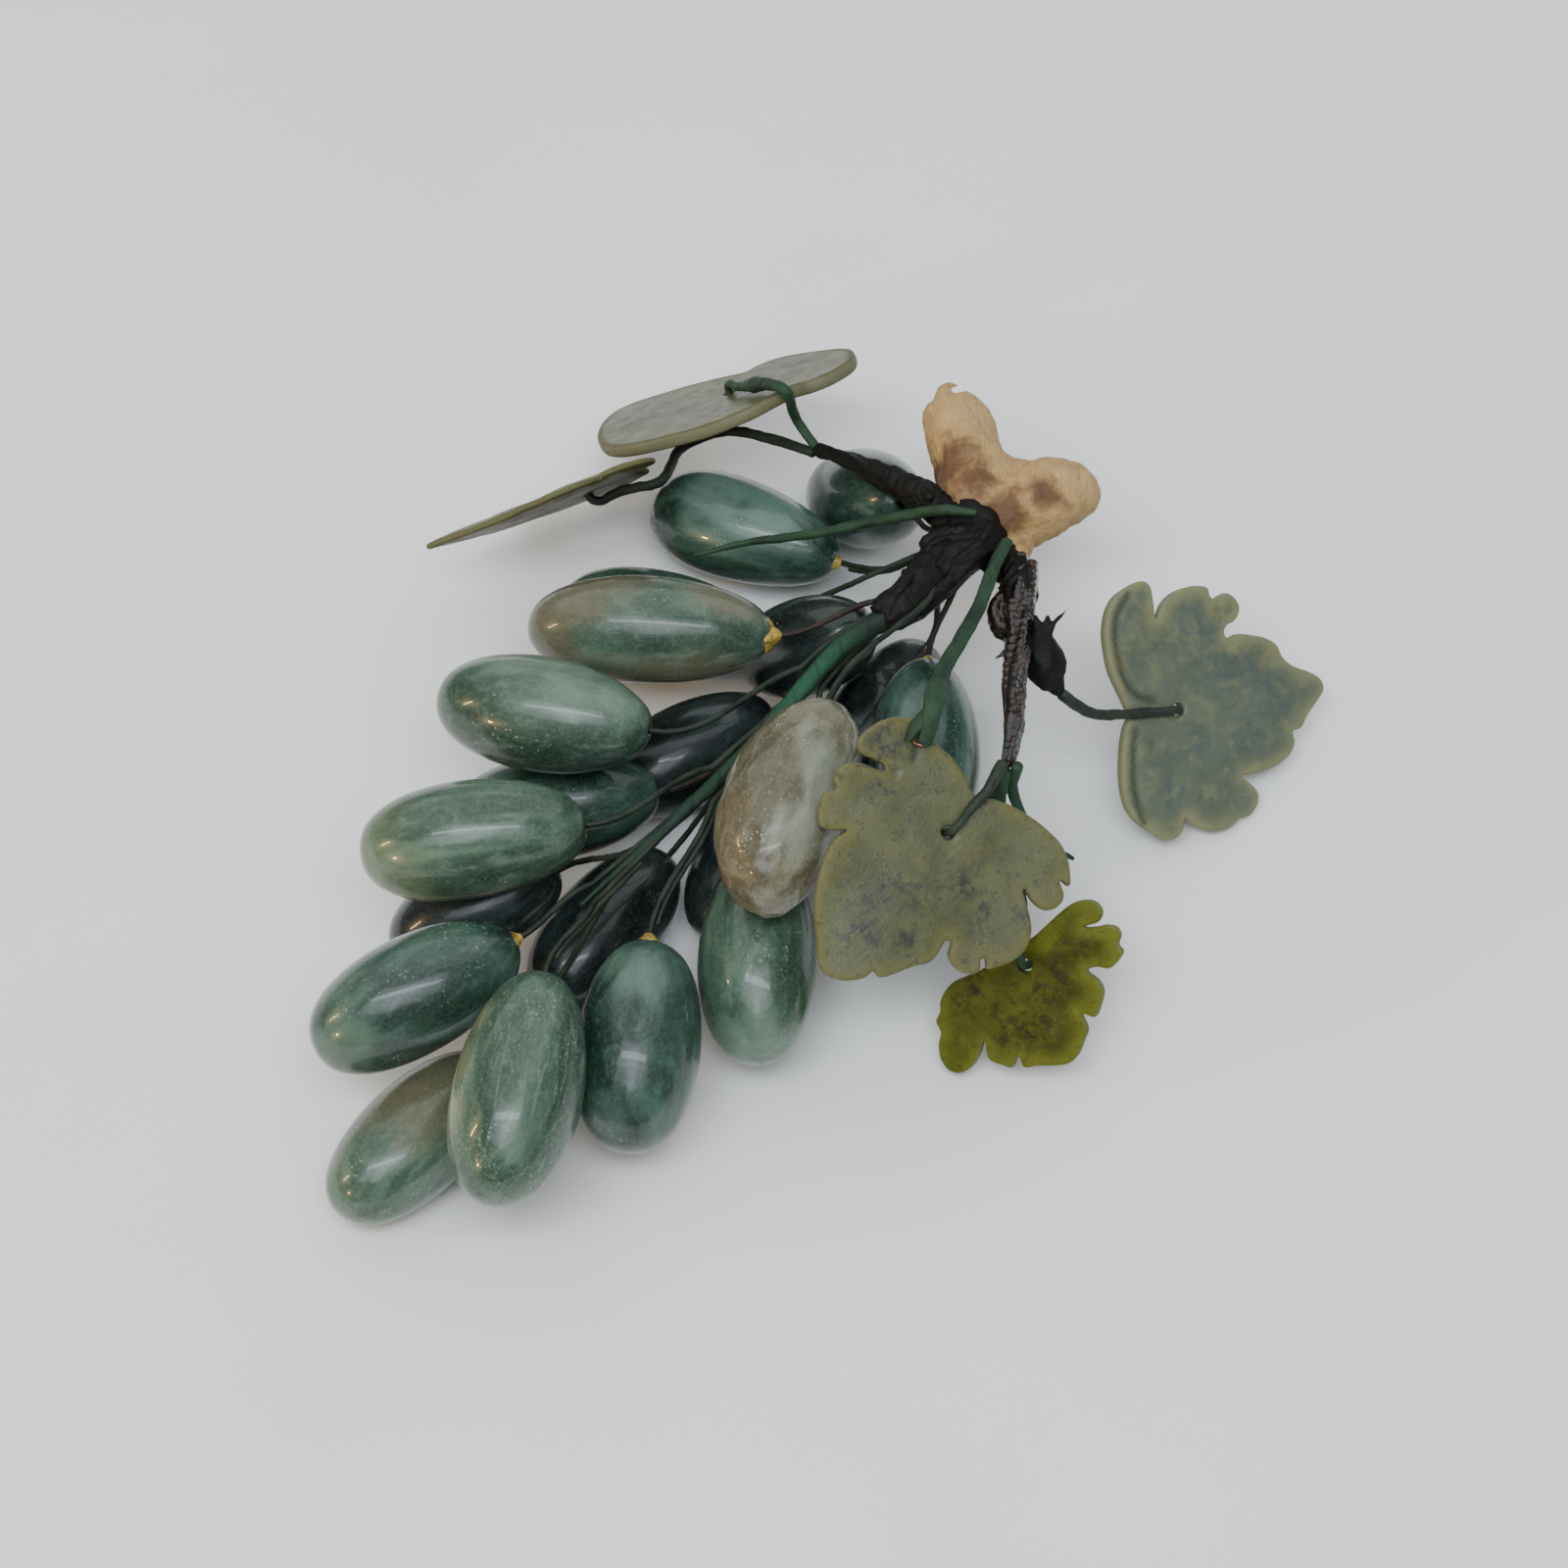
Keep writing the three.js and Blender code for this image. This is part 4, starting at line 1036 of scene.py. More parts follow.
class GRAPES_OT_branches(Operator):
    """Build the glossy side branch, the back branch and the bud of binding"""

    bl_idname = "grape_bunch.branches"
    bl_label = "Branches and bud"

    def execute(self, context):
        glossy = strand_material(context.scene.bunch_tape)
        dark = bpy.data.materials["dark_tape_wound"]
        self.bound("side_branch", BRANCH_SPOTS, BRANCH_GIRTH, 5, glossy, BRANCH_EXTRAS, 41)
        self.bound("back_branch", BACK_SPOTS, BACK_GIRTH, 4, dark, BACK_EXTRAS, 42)
        self.bound("bud", BUD_SPOTS, BUD_GIRTH, 0, dark, BUD_EXTRAS, 43)
        return {"FINISHED"}

    def bound(self, name, spots, girth, strands, material, extras, seed):
        """A core with strands laid along it, and knots and loose ends of binding, under one skin."""
        path, shares = route(spots, 0.5)
        places = np.linspace(0, 1, len(shares))
        radii = np.interp(shares, *girth)
        _, across, other = sides_of(path)
        def scaled(scale):
            return lambda share, *_: scale * np.interp(share, places, radii)
        parts = [tube(path, scaled(0.82 if strands else 1.04), 24)[:2]]
        for strand in range(strands):
            turn = 2 * math.pi * strand / strands + 2.4 * places + seed
            offset = across * np.cos(turn)[:, None] + other * np.sin(turn)[:, None]
            parts.append(tube(path + offset * radii[:, None] * 0.66, scaled(0.42), 12)[:2])
        points, faces, outwards = fused(parts + bars(extras, 0.25, 14), 0.24, 2)
        crumple = 0.1 * lumps(points * [1, 0.5, 0.8], 1.8, seed) + 0.05 * lumps(points, 0.8, seed + 5)
        points += outwards * crumple[:, None]
        make_piece(name + "_bound", points, faces, material, [name], own=points,
                   fields={"lap": np.ones(len(points))})


# Leaves: each rim as (across, along) spots from the wire's hole, in the leaf's own plane. Its saw
# cuts are the spots that turn back inwards

LEAF_THICKNESS = 2.0
LEAF_HOLE_RADIUS = 0.95
RIM_STEP = 0.3
RIM_CURVE_STEPS = 14
RIM_ROWS = (0.07, 0.22, 0.45, 0.75, 1.1)
ROW_KEPT = 0.93
GRID = 0.75
GRID_ROW = 0.87
GRID_CLEARANCE = 0.3
HOLE_ROWS = (0.1, 0.3)
HOLE_SIDES = 28
CHUNK = 2000
LEAF_RIMS = {
    "broad": [
        (-2, 13), (0.9, 10.5), (2.8, 7.7), (3.7, 5.8), (5, 4.9), (6.7, 4.8), (9.4, 3.9), (12.3, 2.3),
        (15, 0.3), (17, -1.8), (18.1, -4.3), (18.2, -7.8), (16.8, -6.9), (17.4, -9.2), (16.4, -10.7),
        (14.7, -11.2), (13.2, -10.4), (11.4, -8.1), (12.1, -11), (12.6, -13.8), (11.9, -16.4),
        (10, -18.2), (7.6, -19.1), (6, -19.4), (5.8, -18.1), (5.1, -18), (4.8, -19.7), (2.9, -20.1),
        (1.2, -19.1), (0.3, -17.4), (0.7, -15.6), (-0.1, -15.3), (-1.2, -16.9), (-2.5, -18.3),
        (-5.2, -19), (-10, -20.4), (-10.9, -19.6), (-12.4, -20.5), (-15.2, -20.8), (-17.4, -20.2),
        (-18.6, -18.7), (-19, -15), (-19.4, -10.3), (-19, -6.9), (-18.2, -3.9), (-16.4, -0.6),
        (-14.9, 0.3), (-16.8, 0.4), (-18.5, 0.9), (-18.9, 2.4), (-18.6, 4.4), (-17.8, 5.8),
        (-16.3, 6.2), (-16.7, 7.6), (-15.7, 9.3), (-14, 9.9), (-12.4, 9.8), (-9.4, 8.8), (-9.2, 9.4),
        (-11, 10.4), (-12.7, 11.2), (-13.3, 12.5), (-12.5, 13.9), (-10.2, 15.6), (-8, 16.3),
        (-5.5, 16.2), (-3.4, 15.4),
    ],
    "toothed": [
        (-8.6, 18.2), (-7, 19), (-5.5, 19.3), (-4.5, 18.5), (-4, 16.5), (-3.5, 13.7), (-2.5, 15.8),
        (-1.1, 17.3), (1.1, 18.3), (3.6, 18.8), (5.4, 18.5), (5.8, 17.3), (6.5, 16.9), (7.6, 17.4),
        (8.7, 17.8), (10.1, 17.1), (11, 15.5), (10.3, 13.7), (8.8, 12.8), (8.3, 11.8), (8.9, 11),
        (10.8, 11.6), (13.3, 11.5), (15.7, 11.1), (17.6, 10.1), (18.7, 8.2), (20.6, 6.9), (23.2, 6.1),
        (25.2, 5.1), (26, 3.5), (24.9, 1.6), (23.2, -0.5), (21.9, -2.6), (20.5, -3.2), (20.8, -4.8),
        (19.9, -6.7), (17.4, -8.5), (14.5, -9.5), (11.4, -10), (12.8, -10.9), (14.3, -12.5),
        (14.3, -14), (13, -15.8), (11, -16.5), (9.6, -17.6), (7.6, -18.3), (5, -18.1), (2.6, -17.1),
        (1.3, -16.3), (1.1, -18), (0.2, -19.2), (-1.5, -19.7), (-3.5, -18.9), (-6.9, -16.8),
        (-8.5, -14.9), (-9.3, -12.5), (-9.6, -9.7), (-9.4, -6), (-8.8, -2.8), (-8.1, -0.9), (-8.9, 0.9),
        (-10.1, 3.1), (-11.4, 5.7), (-12.1, 8.6), (-12.4, 11.5), (-11.9, 14.6), (-10.6, 16.8),
    ],
    "narrow": [
        (0.7, 4), (2.7, 5.8), (5, 8), (6.8, 9.4), (8.6, 10), (10.3, 9.8), (11.3, 8.5), (10.8, 7),
        (8.6, 6.1), (10.3, 6.2), (12, 6.6), (13.5, 6.3), (14.1, 5.2), (13.8, 3.8), (14.5, 2.9),
        (13.8, 1.5), (12.5, 0.3), (10.6, 0.4), (9.2, -0.2), (10.9, -1.5), (11.7, -2.9), (11.4, -4.8),
        (10.5, -6.9), (8.6, -6.6), (9.4, -8.7), (8.8, -10.7), (8, -12.6), (6.7, -13.9), (4.6, -14.4),
        (2, -14.6), (-0.1, -14.9), (-1, -13.4), (-1.8, -15.1), (-3.2, -14.9), (-5.4, -14.1),
        (-6.1, -11.5), (-6.9, -13.7), (-8.1, -15.5), (-9.8, -16.5), (-11.6, -16.1), (-12.8, -14.5),
        (-13.1, -12.4), (-12.8, -10.6), (-13.5, -9.1), (-12.9, -7.5), (-12.9, -6.2), (-12.3, -4.7),
        (-11.1, -3.2), (-9.4, -2.3), (-7, -1.2), (-4.6, 0.6), (-1.9, 2.9),
    ],
    "oval": [
        (-22.1, 0.2), (-22, 7), (-20.9, 12.6), (-18.9, 16.2), (-15.9, 17.1), (-10.8, 16.1),
        (-7.5, 15.4), (-4.1, 14.1), (0.1, 12.2), (2.6, 10.8), (4.2, 12.2), (6.7, 13), (9.2, 12.4),
        (12.5, 9.9), (16.5, 5.8), (19, 3), (20.4, 0.1), (20.8, -4.2), (20.3, -7.5), (18.8, -10.1),
        (16.4, -12.3), (13.2, -13), (10, -12), (7.6, -13.5), (3.6, -15.6), (0.4, -16.2), (-3.6, -16.7),
        (-6.8, -16.2), (-10.8, -15), (-14.9, -13.4), (-18.2, -10.9), (-20.5, -7.2),
    ],
}

# heading and climb are the way that a leaf's face looks, and turn how it is turned in its own plane,
# in degrees. folds are lines of relief (spots, half width, height), with painted shade in the deeper
# grooves, and patches darker clouds (across, along, reach), mostly the stone's own. flecks is how
# strong its dark flecks are, and gloss its index of refraction.
# thin is its rim's share of the thickness and how far in the leaf is whole again, and slot names the
# record's material where that isn't the stone's own
LEAVES = {
    "leaf_1": {"stone": "olive", "flecks": 0.5, "rim": "broad", "hole": (23, -34.3, 37),
               "heading": 295, "climb": 52, "turn": 0,
               "folds": [([(6.5, 6.5), (0.3, 0.3)], 0.8, -0.12),
                         ([(-3.6, 16), (-4.6, 13), (-5, 10.5)], 0.9, -0.25),
                         ([(-13.3, 9.6), (-9.4, 9), (-7.6, 8.4)], 0.35, -0.7),
                         ([(-9, 3), (-8, -8), (-11, -19)], 3, 0.05),
                         ([(3, -2), (8, -6), (15, -9)], 3, 0.06)],
               # Two of these patches are painted shade: (-9.5, 12.5) on the top lobe, which turns away from
               # the light, and (-5.4, 12.8) in the dark band beside the copper end. The rest are the
               # stone's own blotches.
               "patches": [(-13, -14.5, 3.2), (-9, -8.5, 3), (-4.5, -9, 2.6), (2.5, -7.5, 2.6),
                           (4.8, -12, 2.6), (-9.5, 12.5, 3.6), (-5.4, 12.8, 2.0), (-10, 6.5, 2),
                           (11.5, -12.5, 1.6), (5, 4, 2), (-12.6, -10.5, 2.2), (-6.5, -15, 2.2)]},
    "leaf_2": {"stone": "grey", "rim": "toothed", "hole": (58.9, 3.2, 14.9),
               "heading": 309, "climb": 48, "turn": 0,
               "folds": [([(-8.6, 17.2), (-10.3, 14.3), (-10.7, 11), (-10.1, 7.5), (-8.9, 4.2),
                           (-7.2, 2.3), (-4, 1.2)], 1.0, -0.28),
                         ([(-7.2, -3.2), (-7.6, -7), (-7.6, -11), (-6.8, -14.6), (-5.8, -17)], 1.0, -0.25),
                         ([(-9, -0.4), (-4.5, -0.2), (-0.2, 0)], 0.9, -0.2),
                         ([(2, 1), (12, 3), (23, 3.6)], 3, 0.06), ([(1, -2), (5, -9), (9, -15)], 3, 0.05)],
               "patches": [(9, 6, 5), (12, -3, 5), (4, 13, 4), (-1, -12, 3), (16, 2, 4), (3, -5, 3)]},
    "leaf_3": {"stone": "yellow", "flecks": 0.3, "gloss": 1.28, "rim": "narrow",
               "hole": (35, -43.2, 16.1), "heading": 243, "climb": 44, "turn": 0,
               "folds": [([(-2, -1), (-7, -7), (-10, -14)], 2.4, 0.1),
                         ([(1, -2), (4, -8), (4, -13)], 2.4, 0.1),
                         ([(2, 0), (7, 3), (12, 4)], 2.2, 0.1)],
               "patches": [(-7, -3.5, 2.4), (-9.8, -5.8, 1.5), (-3, -5, 3), (1.5, -8.5, 4),
                           (-2, -9.5, 3), (5.5, -1, 2.4), (9, 2.4, 2.2), (3, -3.5, 2.6)]},
    "leaf_4": {"stone": "moss", "slot": "olive", "gloss": 1.6, "rim": "oval",
               "hole": (-8.3, 58.4, 22.1), "heading": 121, "climb": 49, "turn": 0,
               "folds": [([(-19, 2), (-4, 1), (8, 0), (18, -4)], 3, 0.05)],
               "patches": [(-12, 4, 4), (6, -4, 4)]},
    "leaf_5": {"stone": "moss", "slot": "olive", "gloss": 1.25, "thin": (0.45, 5), "rim": "toothed",
               "hole": (-30.7, 42, 19.6), "heading": 115, "climb": 34, "turn": 177,
               "folds": [([(2, 1), (12, 3), (23, 3.6)], 3, 0.08)],
               "patches": [(-2, 0, 5), (-4, -5, 4), (9, 6, 3), (12, -3, 3)]},
}


def leaf_turn(leaf):
    """Three columns: the directions across, along and out of a leaf's face."""
    facing = direction(leaf["heading"], leaf["climb"])
    across = unit(np.array([1.0, 0, 0]) - facing * facing[0])
    along = np.cross(facing, across)
    turn = math.radians(leaf["turn"])
    return np.column_stack([
        across * math.cos(turn) + along * math.sin(turn),
        along * math.cos(turn) - across * math.sin(turn),
        facing,
    ])


def leaf_spot(leaf, across, along, height):
    """A point on the bench from its place on a leaf."""
    return leaf_turn(leaf) @ np.array([across, along, height]) + leaf["hole"]


def frame_shift():
    """From the bench to the frame: how far the fourth leaf's CAD box is from the same leaf here."""
    leaf = LEAVES["leaf_4"]
    corners = np.array([
        leaf_spot(leaf, *spot, side * LEAF_THICKNESS / 2)
        for spot in LEAF_RIMS[leaf["rim"]] for side in (-1, 1)
    ])
    low, high = (np.array(corner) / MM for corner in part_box("leaf_4"))
    return (low + high - corners.min(axis=0) - corners.max(axis=0)) / 2


SHIFT = frame_shift()


def closed_run(spots, step):
    """A smooth closed run of flat points through given spots, about one step apart."""
    ring = np.array([*spots[-2:], *spots, *spots[:3]], float)
    places = np.linspace(2, 2 + len(spots), RIM_CURVE_STEPS * len(spots) + 1) / (len(ring) - 1)
    return evenly(curve(ring, places), step)[:-1]


def away_from(points, run, closed=False):
    """How far each flat point is from a run of flat points."""
    run = np.asarray(run, float)
    starts, stops = (run, np.roll(run, -1, axis=0)) if closed else (run[:-1], run[1:])
    ways = stops - starts
    squares = (ways ** 2).sum(axis=1)
    nearest = np.empty(len(points))
    for first in range(0, len(points), CHUNK):
        off = points[first:first + CHUNK, None] - starts[None]
        share = np.clip((off * ways[None]).sum(axis=2) / squares[None], 0, 1)
        gaps = np.linalg.norm(off - share[..., None] * ways[None], axis=2)
        nearest[first:first + CHUNK] = gaps.min(axis=1)
    return nearest


def enclosed(points, run):
    """Which flat points lie inside a closed run."""
    inside = np.zeros(len(points), bool)
    for (x0, y0), (x1, y1) in zip(run, np.roll(run, -1, axis=0)):
        crosses = (y0 > points[:, 1]) != (y1 > points[:, 1])
        if crosses.any():
            inside ^= crosses & (points[:, 0] < (x1 - x0) * (points[:, 1] - y0) / (y1 - y0) + x0)
    return inside


def leaf_plan(rim, edge):
    """A leaf's face, flat: its points and triangles, in rows along the rim and the hole and an even
    grid between, and how many of the points lie on the rim and the hole."""
    along = np.roll(rim, -1, axis=0) - np.roll(rim, 1, axis=0)
    inwards = np.column_stack([-along[:, 1], along[:, 0]]) / np.linalg.norm(along, axis=1)[:, None]
    if not enclosed((rim + 0.05 * inwards)[:1], rim)[0]:
        inwards = -inwards
    turns = turns_round(HOLE_SIDES)
    round_hole = np.column_stack([np.cos(turns), np.sin(turns)])
    blocks = [rim, round_hole * LEAF_HOLE_RADIUS]
    for row in RIM_ROWS:
        spots = rim + inwards * row * edge
        kept = away_from(spots, rim, True) > ROW_KEPT * row * edge
        blocks.append(spots[kept & enclosed(spots, rim)])
    blocks += [round_hole * (LEAF_HOLE_RADIUS + row) for row in HOLE_ROWS]
    low, high = rim.min(axis=0), rim.max(axis=0)
    grid = np.array([
        (x + GRID / 2 * (line % 2), y)
        for line, y in enumerate(np.arange(low[1], high[1], GRID * GRID_ROW))
        for x in np.arange(low[0], high[0], GRID)
    ])
    clear = np.linalg.norm(grid, axis=1) > LEAF_HOLE_RADIUS + HOLE_ROWS[-1] + GRID_CLEARANCE
    grid = grid[enclosed(grid, rim) & clear]
    blocks.append(grid[away_from(grid, rim, True) > RIM_ROWS[-1] * edge + GRID_CLEARANCE])
    points = np.vstack(blocks)
    borders = [(i, (i + 1) % len(rim)) for i in range(len(rim))]
    borders += [(len(rim) + i, len(rim) + (i + 1) % HOLE_SIDES) for i in range(HOLE_SIDES)]
    spots, _, faces, *_ = delaunay_2d_cdt([Vector(spot) for spot in points], borders, [], 0, 1e-4, False)
    spots = np.array([tuple(spot) for spot in spots])
    faces = np.array([tuple(face) for face in faces])
    middles = spots[faces].mean(axis=1)
    faces = faces[enclosed(middles, rim) & ~enclosed(middles, round_hole * LEAF_HOLE_RADIUS)]
    return spots, faces, len(rim) + HOLE_SIDES


EDGE_POWER = 2.5
# A fold that sinks further than this gets painted shade in its groove.
SHADED_FOLD = -0.1


def leaf_shape(leaf, settings, seed):
    """A slab with rounded edges and low relief: its points and faces, and for each point how far it
    is from the rim, how much it lies in a dark patch and how much painted shade it takes in the creases."""
    rim = closed_run(LEAF_RIMS[leaf["rim"]], RIM_STEP)
    flat, faces, border = leaf_plan(rim, settings.edge)
    depth = away_from(flat, rim, True)
    thickness = (1 - (1 - np.clip(depth / settings.edge, 0, 1)) ** EDGE_POWER) ** (1 / EDGE_POWER)
    hole = np.clip((np.linalg.norm(flat, axis=1) - LEAF_HOLE_RADIUS) / HOLE_ROWS[-1], 0, 1)
    height = LEAF_THICKNESS / 2 * thickness * (0.6 + 0.4 * np.sqrt(1 - (1 - hole) ** 2))
    rim_share, whole_from = leaf.get("thin", (1, 1))
    height *= rim_share + (1 - rim_share) * eased(depth, 0, whole_from)
    space = np.column_stack([flat, np.zeros(len(flat))])
    middle = settings.swell * lumps(space, 12, seed)
    uneven = 0.04 * lumps(space, 4, seed + 5)
    crease = np.zeros(len(flat))
    for spots, half, rise in leaf["folds"]:
        line = curve(spots, np.linspace(0, 1, 24))
        near = 1 - eased(away_from(flat, line), 0, half)
        uneven += rise * near
        # Painted shade along the deeper grooves.
        crease = np.maximum(crease, near * (rise < SHADED_FOLD))
    inner = np.ones(len(flat), bool)
    inner[:border] = False
    upper = np.column_stack([flat, middle + height + uneven * eased(depth, 0.1, 0.9)])
    upper[:border, 2] = middle[:border]
    lower = np.column_stack([flat, middle - height])[inner]
    under = np.arange(len(flat))
    under[inner] = len(flat) + np.arange(inner.sum())
    corners = flat[faces]
    turned = np.cross(corners[:, 1] - corners[:, 0], corners[:, 2] - corners[:, 0]) < 0
    faces[turned] = faces[turned][:, ::-1]
    patch = clouds(flat, [(place, reach) for *place, reach in leaf["patches"]])
    both = np.r_[np.arange(len(flat)), np.flatnonzero(inner)]
    triangles = [tuple(face) for face in faces] + [tuple(under[face][::-1]) for face in faces]
    points = np.vstack([upper, lower])
    return points, triangles, {"rim": depth[both], "patch": patch[both], "crease": crease[both]}


# Each stone's deep, middle, rim and patch colours
LEAF_COLOURS = {
    "olive": ("#45482d", "#535636", "#5b5722", "#26242c"),
    "grey": ("#4a5246", "#565e4e", "#7a7850", "#434f4e"),
    "moss": ("#3f3f22", "#4e4d2c", "#4a4716", "#1d1710"),
    "yellow": ("#2c2f04", "#434607", "#626514", "#1c160a"),
}


def leaf_stone(name, leaf, settings, seed):
    """Thin carved stone: drifting colour, dark clouds, broad yellower rims, paler sawn edges and painted
    shade in the creases.
    """
    mix = Mix(name)
    deep, middle, rim_shade, dark = (colour(code) for code in LEAF_COLOURS[leaf["stone"]])
    spot = mix.stretched(mix.own(), (1, 1, 1), shift=(11.3 * seed, 4.1 * seed, 0))
    drift = mix.noise(spot, 7.5, 6, 0.6, 0.6)
    mottle = mix.noise(spot, 2.2, 5, 0.6, 0.3)
    grain = mix.noise(spot, 0.4, 3, 0.6)
    pale = colour("#8d8f78")
    base = mix.layer(deep, middle, drift, 0.36, 0.62)
    base = mix.layer(base, rim_shade, mottle, 0.45, 0.7, 0.35)
    reach = mix.plus(mix.field("rim"), mix.times(drift, 9.0))
    base = mix.layer(base, rim_shade, reach, 7.6, 4.2, 0.75)
    blots = mix.remap(mix.noise(spot, 1.5, 4, 0.6, 0.4), 0.44, 0.62, 0.1, 1)
    # Dark clouds in the patches: the stone's own blotches, and on the first leaf two patches of painted
    # shade.
    base = mix.blend(mix.times(mix.times(mix.field("patch"), blots), 0.9), base, dark)
    base = mix.layer(base, pale, grain, 0.5, 0.8, 0.12)
    # Painted shade darkens the creases.
    base = mix.blend(mix.times(mix.field("crease"), 0.7), base, colour("#22211a"))
    sawn = mix.plus(mix.field("rim"), mix.times(mottle, 0.3))
    base = mix.layer(base, pale, sawn, 0.5, 0.2, 0.2)
    flecks = mix.noise(spot, 1.1, 3, 0.6, 0.2)
    base = mix.layer(base, dark, flecks, 0.57, 0.68, leaf.get("flecks", 0.0))
    rough = mix.remap(mottle, 0.3, 0.7, settings.polish - 0.04, settings.polish + 0.1)
    rough = mix.plus(rough, mix.remap(mix.field("rim"), 1.6, 0.3, 0, 0.32))
    return mix.finish({
        "Base Color": base, "Roughness": rough, "IOR": leaf.get("gloss", 1.5),
        "Subsurface Weight": 0.2, "Subsurface Radius": (1.2, 1.2, 0.6), "Subsurface Scale": 1.0 * MM,
        "Normal": mix.bump(mix.plus(grain, mix.times(mottle, 1.5)), 0.05),
    })


class GRAPES_OT_leaves(Operator):
    """Build the five thin carved leaves"""

    bl_idname = "grape_bunch.leaves"
    bl_label = "Leaves"

    def execute(self, context):
        settings = context.scene.bunch_leaves
        for seed, (name, leaf) in enumerate(LEAVES.items(), start=201):
            points, faces, fields = leaf_shape(leaf, settings, seed)
            bench = points @ leaf_turn(leaf).T + leaf["hole"]
            make_piece(name + "_carved", bench, faces, leaf_stone(name + "_stone", leaf, settings, seed),
                       [name], own=points, fields=fields)
        return {"FINISHED"}


# Wires of the leaves

# Each wire's tape, its radius along it and how flat it is
LEAF_WIRES = {
    "leaf_wire_1": ("grape_wire_tape", ([0, 0.5, 1], [0.9, 0.65, 0.4]), 1.0),
    "leaf_wire_2": ("grape_wire_tape", ([0, 0.4, 1], [0.85, 0.75, 0.55]), 1.0),
    "leaf_wire_3": ("green_tape_wound", ([0, 0.08, 0.16, 0.3, 1], [1.2, 1.6, 1.4, 0.75, 0.6]), 0.8),
    "leaf_wire_4": ("green_tape_wound",
                    ([0, 0.25, 0.5, 0.58, 0.68, 1], [0.7, 0.75, 1.0, 1.25, 0.7, 0.45]), 1.0),
    "leaf_wire_5": ("grape_wire_tape", ([0, 1], [0.8, 0.7]), 1.0),
    "loose_wire_1": ("green_tape_wound", ([0, 0.1, 0.7, 1], [0.5, 0.85, 0.65, 0.25]), 1.0),
    "loose_wire_2": ("green_tape_wound", ([0, 0.3, 0.7, 0.85, 1], [0.9, 1.05, 1.2, 1.6, 1.0]), 0.6),
    "loose_wire_3": ("green_tape_wound", ([0, 0.7, 1], [0.8, 0.7, 0.2]), 1.0),
}

# The split tape of the second loose wire and its bared copper, as spots on the first leaf
FORK_SPOTS = [(-2.9, 17.6, 3), (-4.1, 16.6, 2.7), (-5.4, 14.8, 2.3), (-6.2, 13.2, 1.6)]
FORK_GIRTH = ([0, 0.6, 1], [0.7, 1.0, 0.5])
COPPER_SPOTS = [(-5.6, 13.4, 1.1), (-4.9, 12.5, 1.9), (-3.6, 12.5, 2.1), (-2.5, 13.9, 1.4)]
COPPER_RADII = (0.22, 0.16)


def through_hole(leaf, side, face, beyond):
    """Along one face of a leaf from one side, then through its hole to show beyond."""
    half = LEAF_THICKNESS / 2
    toward = math.radians(side)
    def spot(away, height):
        return leaf_spot(leaf, away * math.cos(toward), away * math.sin(toward), face * height)
    return [spot(4.5, half + 1.2), spot(1.7, half + 1.5), spot(0.4, half + 0.9), spot(0, half * 0.3),
            spot(0, -half - beyond)]


def leaf_wire_routes():
    """The given routes of the leaves' wires and of the three loose ones."""
    one, two, three, four, five = LEAVES.values()
    return {
        "leaf_wire_1": [(30.9, -26, 42.1), leaf_spot(one, 5.5, 6.2, 2.4), *through_hole(one, 48, 1, 1.4)],
        "leaf_wire_2": [(41, -4, 28.6), (43, -3.8, 26), (46, -3, 22.5), (50, -1, 19.5),
                        *through_hole(two, 185, 1, 1.4)],
        "leaf_wire_3": [(31.4, -25.9, 40), leaf_spot(one, 8.3, 5.5, -2.6), leaf_spot(one, 10.5, -2, -5),
                        (34.4, -37, 22.6), *through_hole(three, 95, 1, 1.4)],
        "leaf_wire_4": [(4.7, 45.6, 26), (2, 48.4, 28.6), leaf_spot(four, 9.6, -15.8, 1.6),
                        leaf_spot(four, 7.3, -12.6, 2.8), *through_hole(four, -65, 1, 1.4)],
        "leaf_wire_5": [(4.4, 45.8, 24), (-1.5, 51, 20.8), (-9, 55, 18), (-15.6, 54.6, 15),
                        leaf_spot(five, -11, 1, -3), leaf_spot(five, -7, 0.5, -2.4),
                        *through_hole(five, 180, -1, 0)],
        "loose_wire_1": [(28.4, 22.2, 38.6), (24, 23.3, 37.9), (13.2, 26.3, 31.2), (4.5, 27.4, 27),
                         (-5.8, 29.2, 22.5), (-13.8, 28.7, 20)],
        "loose_wire_2": [(33.2, 19, 35.8), (31.5, 14.7, 36.8), (28.6, 4.8, 38.5), (25.8, -2.8, 41),
                         (22.8, -11, 44), leaf_spot(one, -3, 17.5, 3.4), leaf_spot(one, -3.8, 12.8, 2.2)],
        "loose_wire_3": [(33.1, -26, 41.5), leaf_spot(one, 10.6, 5.9, -2.2), leaf_spot(one, 14, -0.3, -3.2),
                         leaf_spot(one, 20.3, -3.9, -4)],
    }


def copper_material():
    """Bared copper wire, rubbed bright."""
    mix = Mix("bare_copper")
    rubbed = mix.noise(mix.own(), 0.6, 4, 0.6)
    base = mix.layer(colour("#7a4030"), colour("#d9a08a"), rubbed, 0.35, 0.65)
    rough = mix.remap(rubbed, 0.3, 0.7, 0.2, 0.4)
    return mix.finish({"Base Color": base, "Metallic": 1.0, "Roughness": rough})


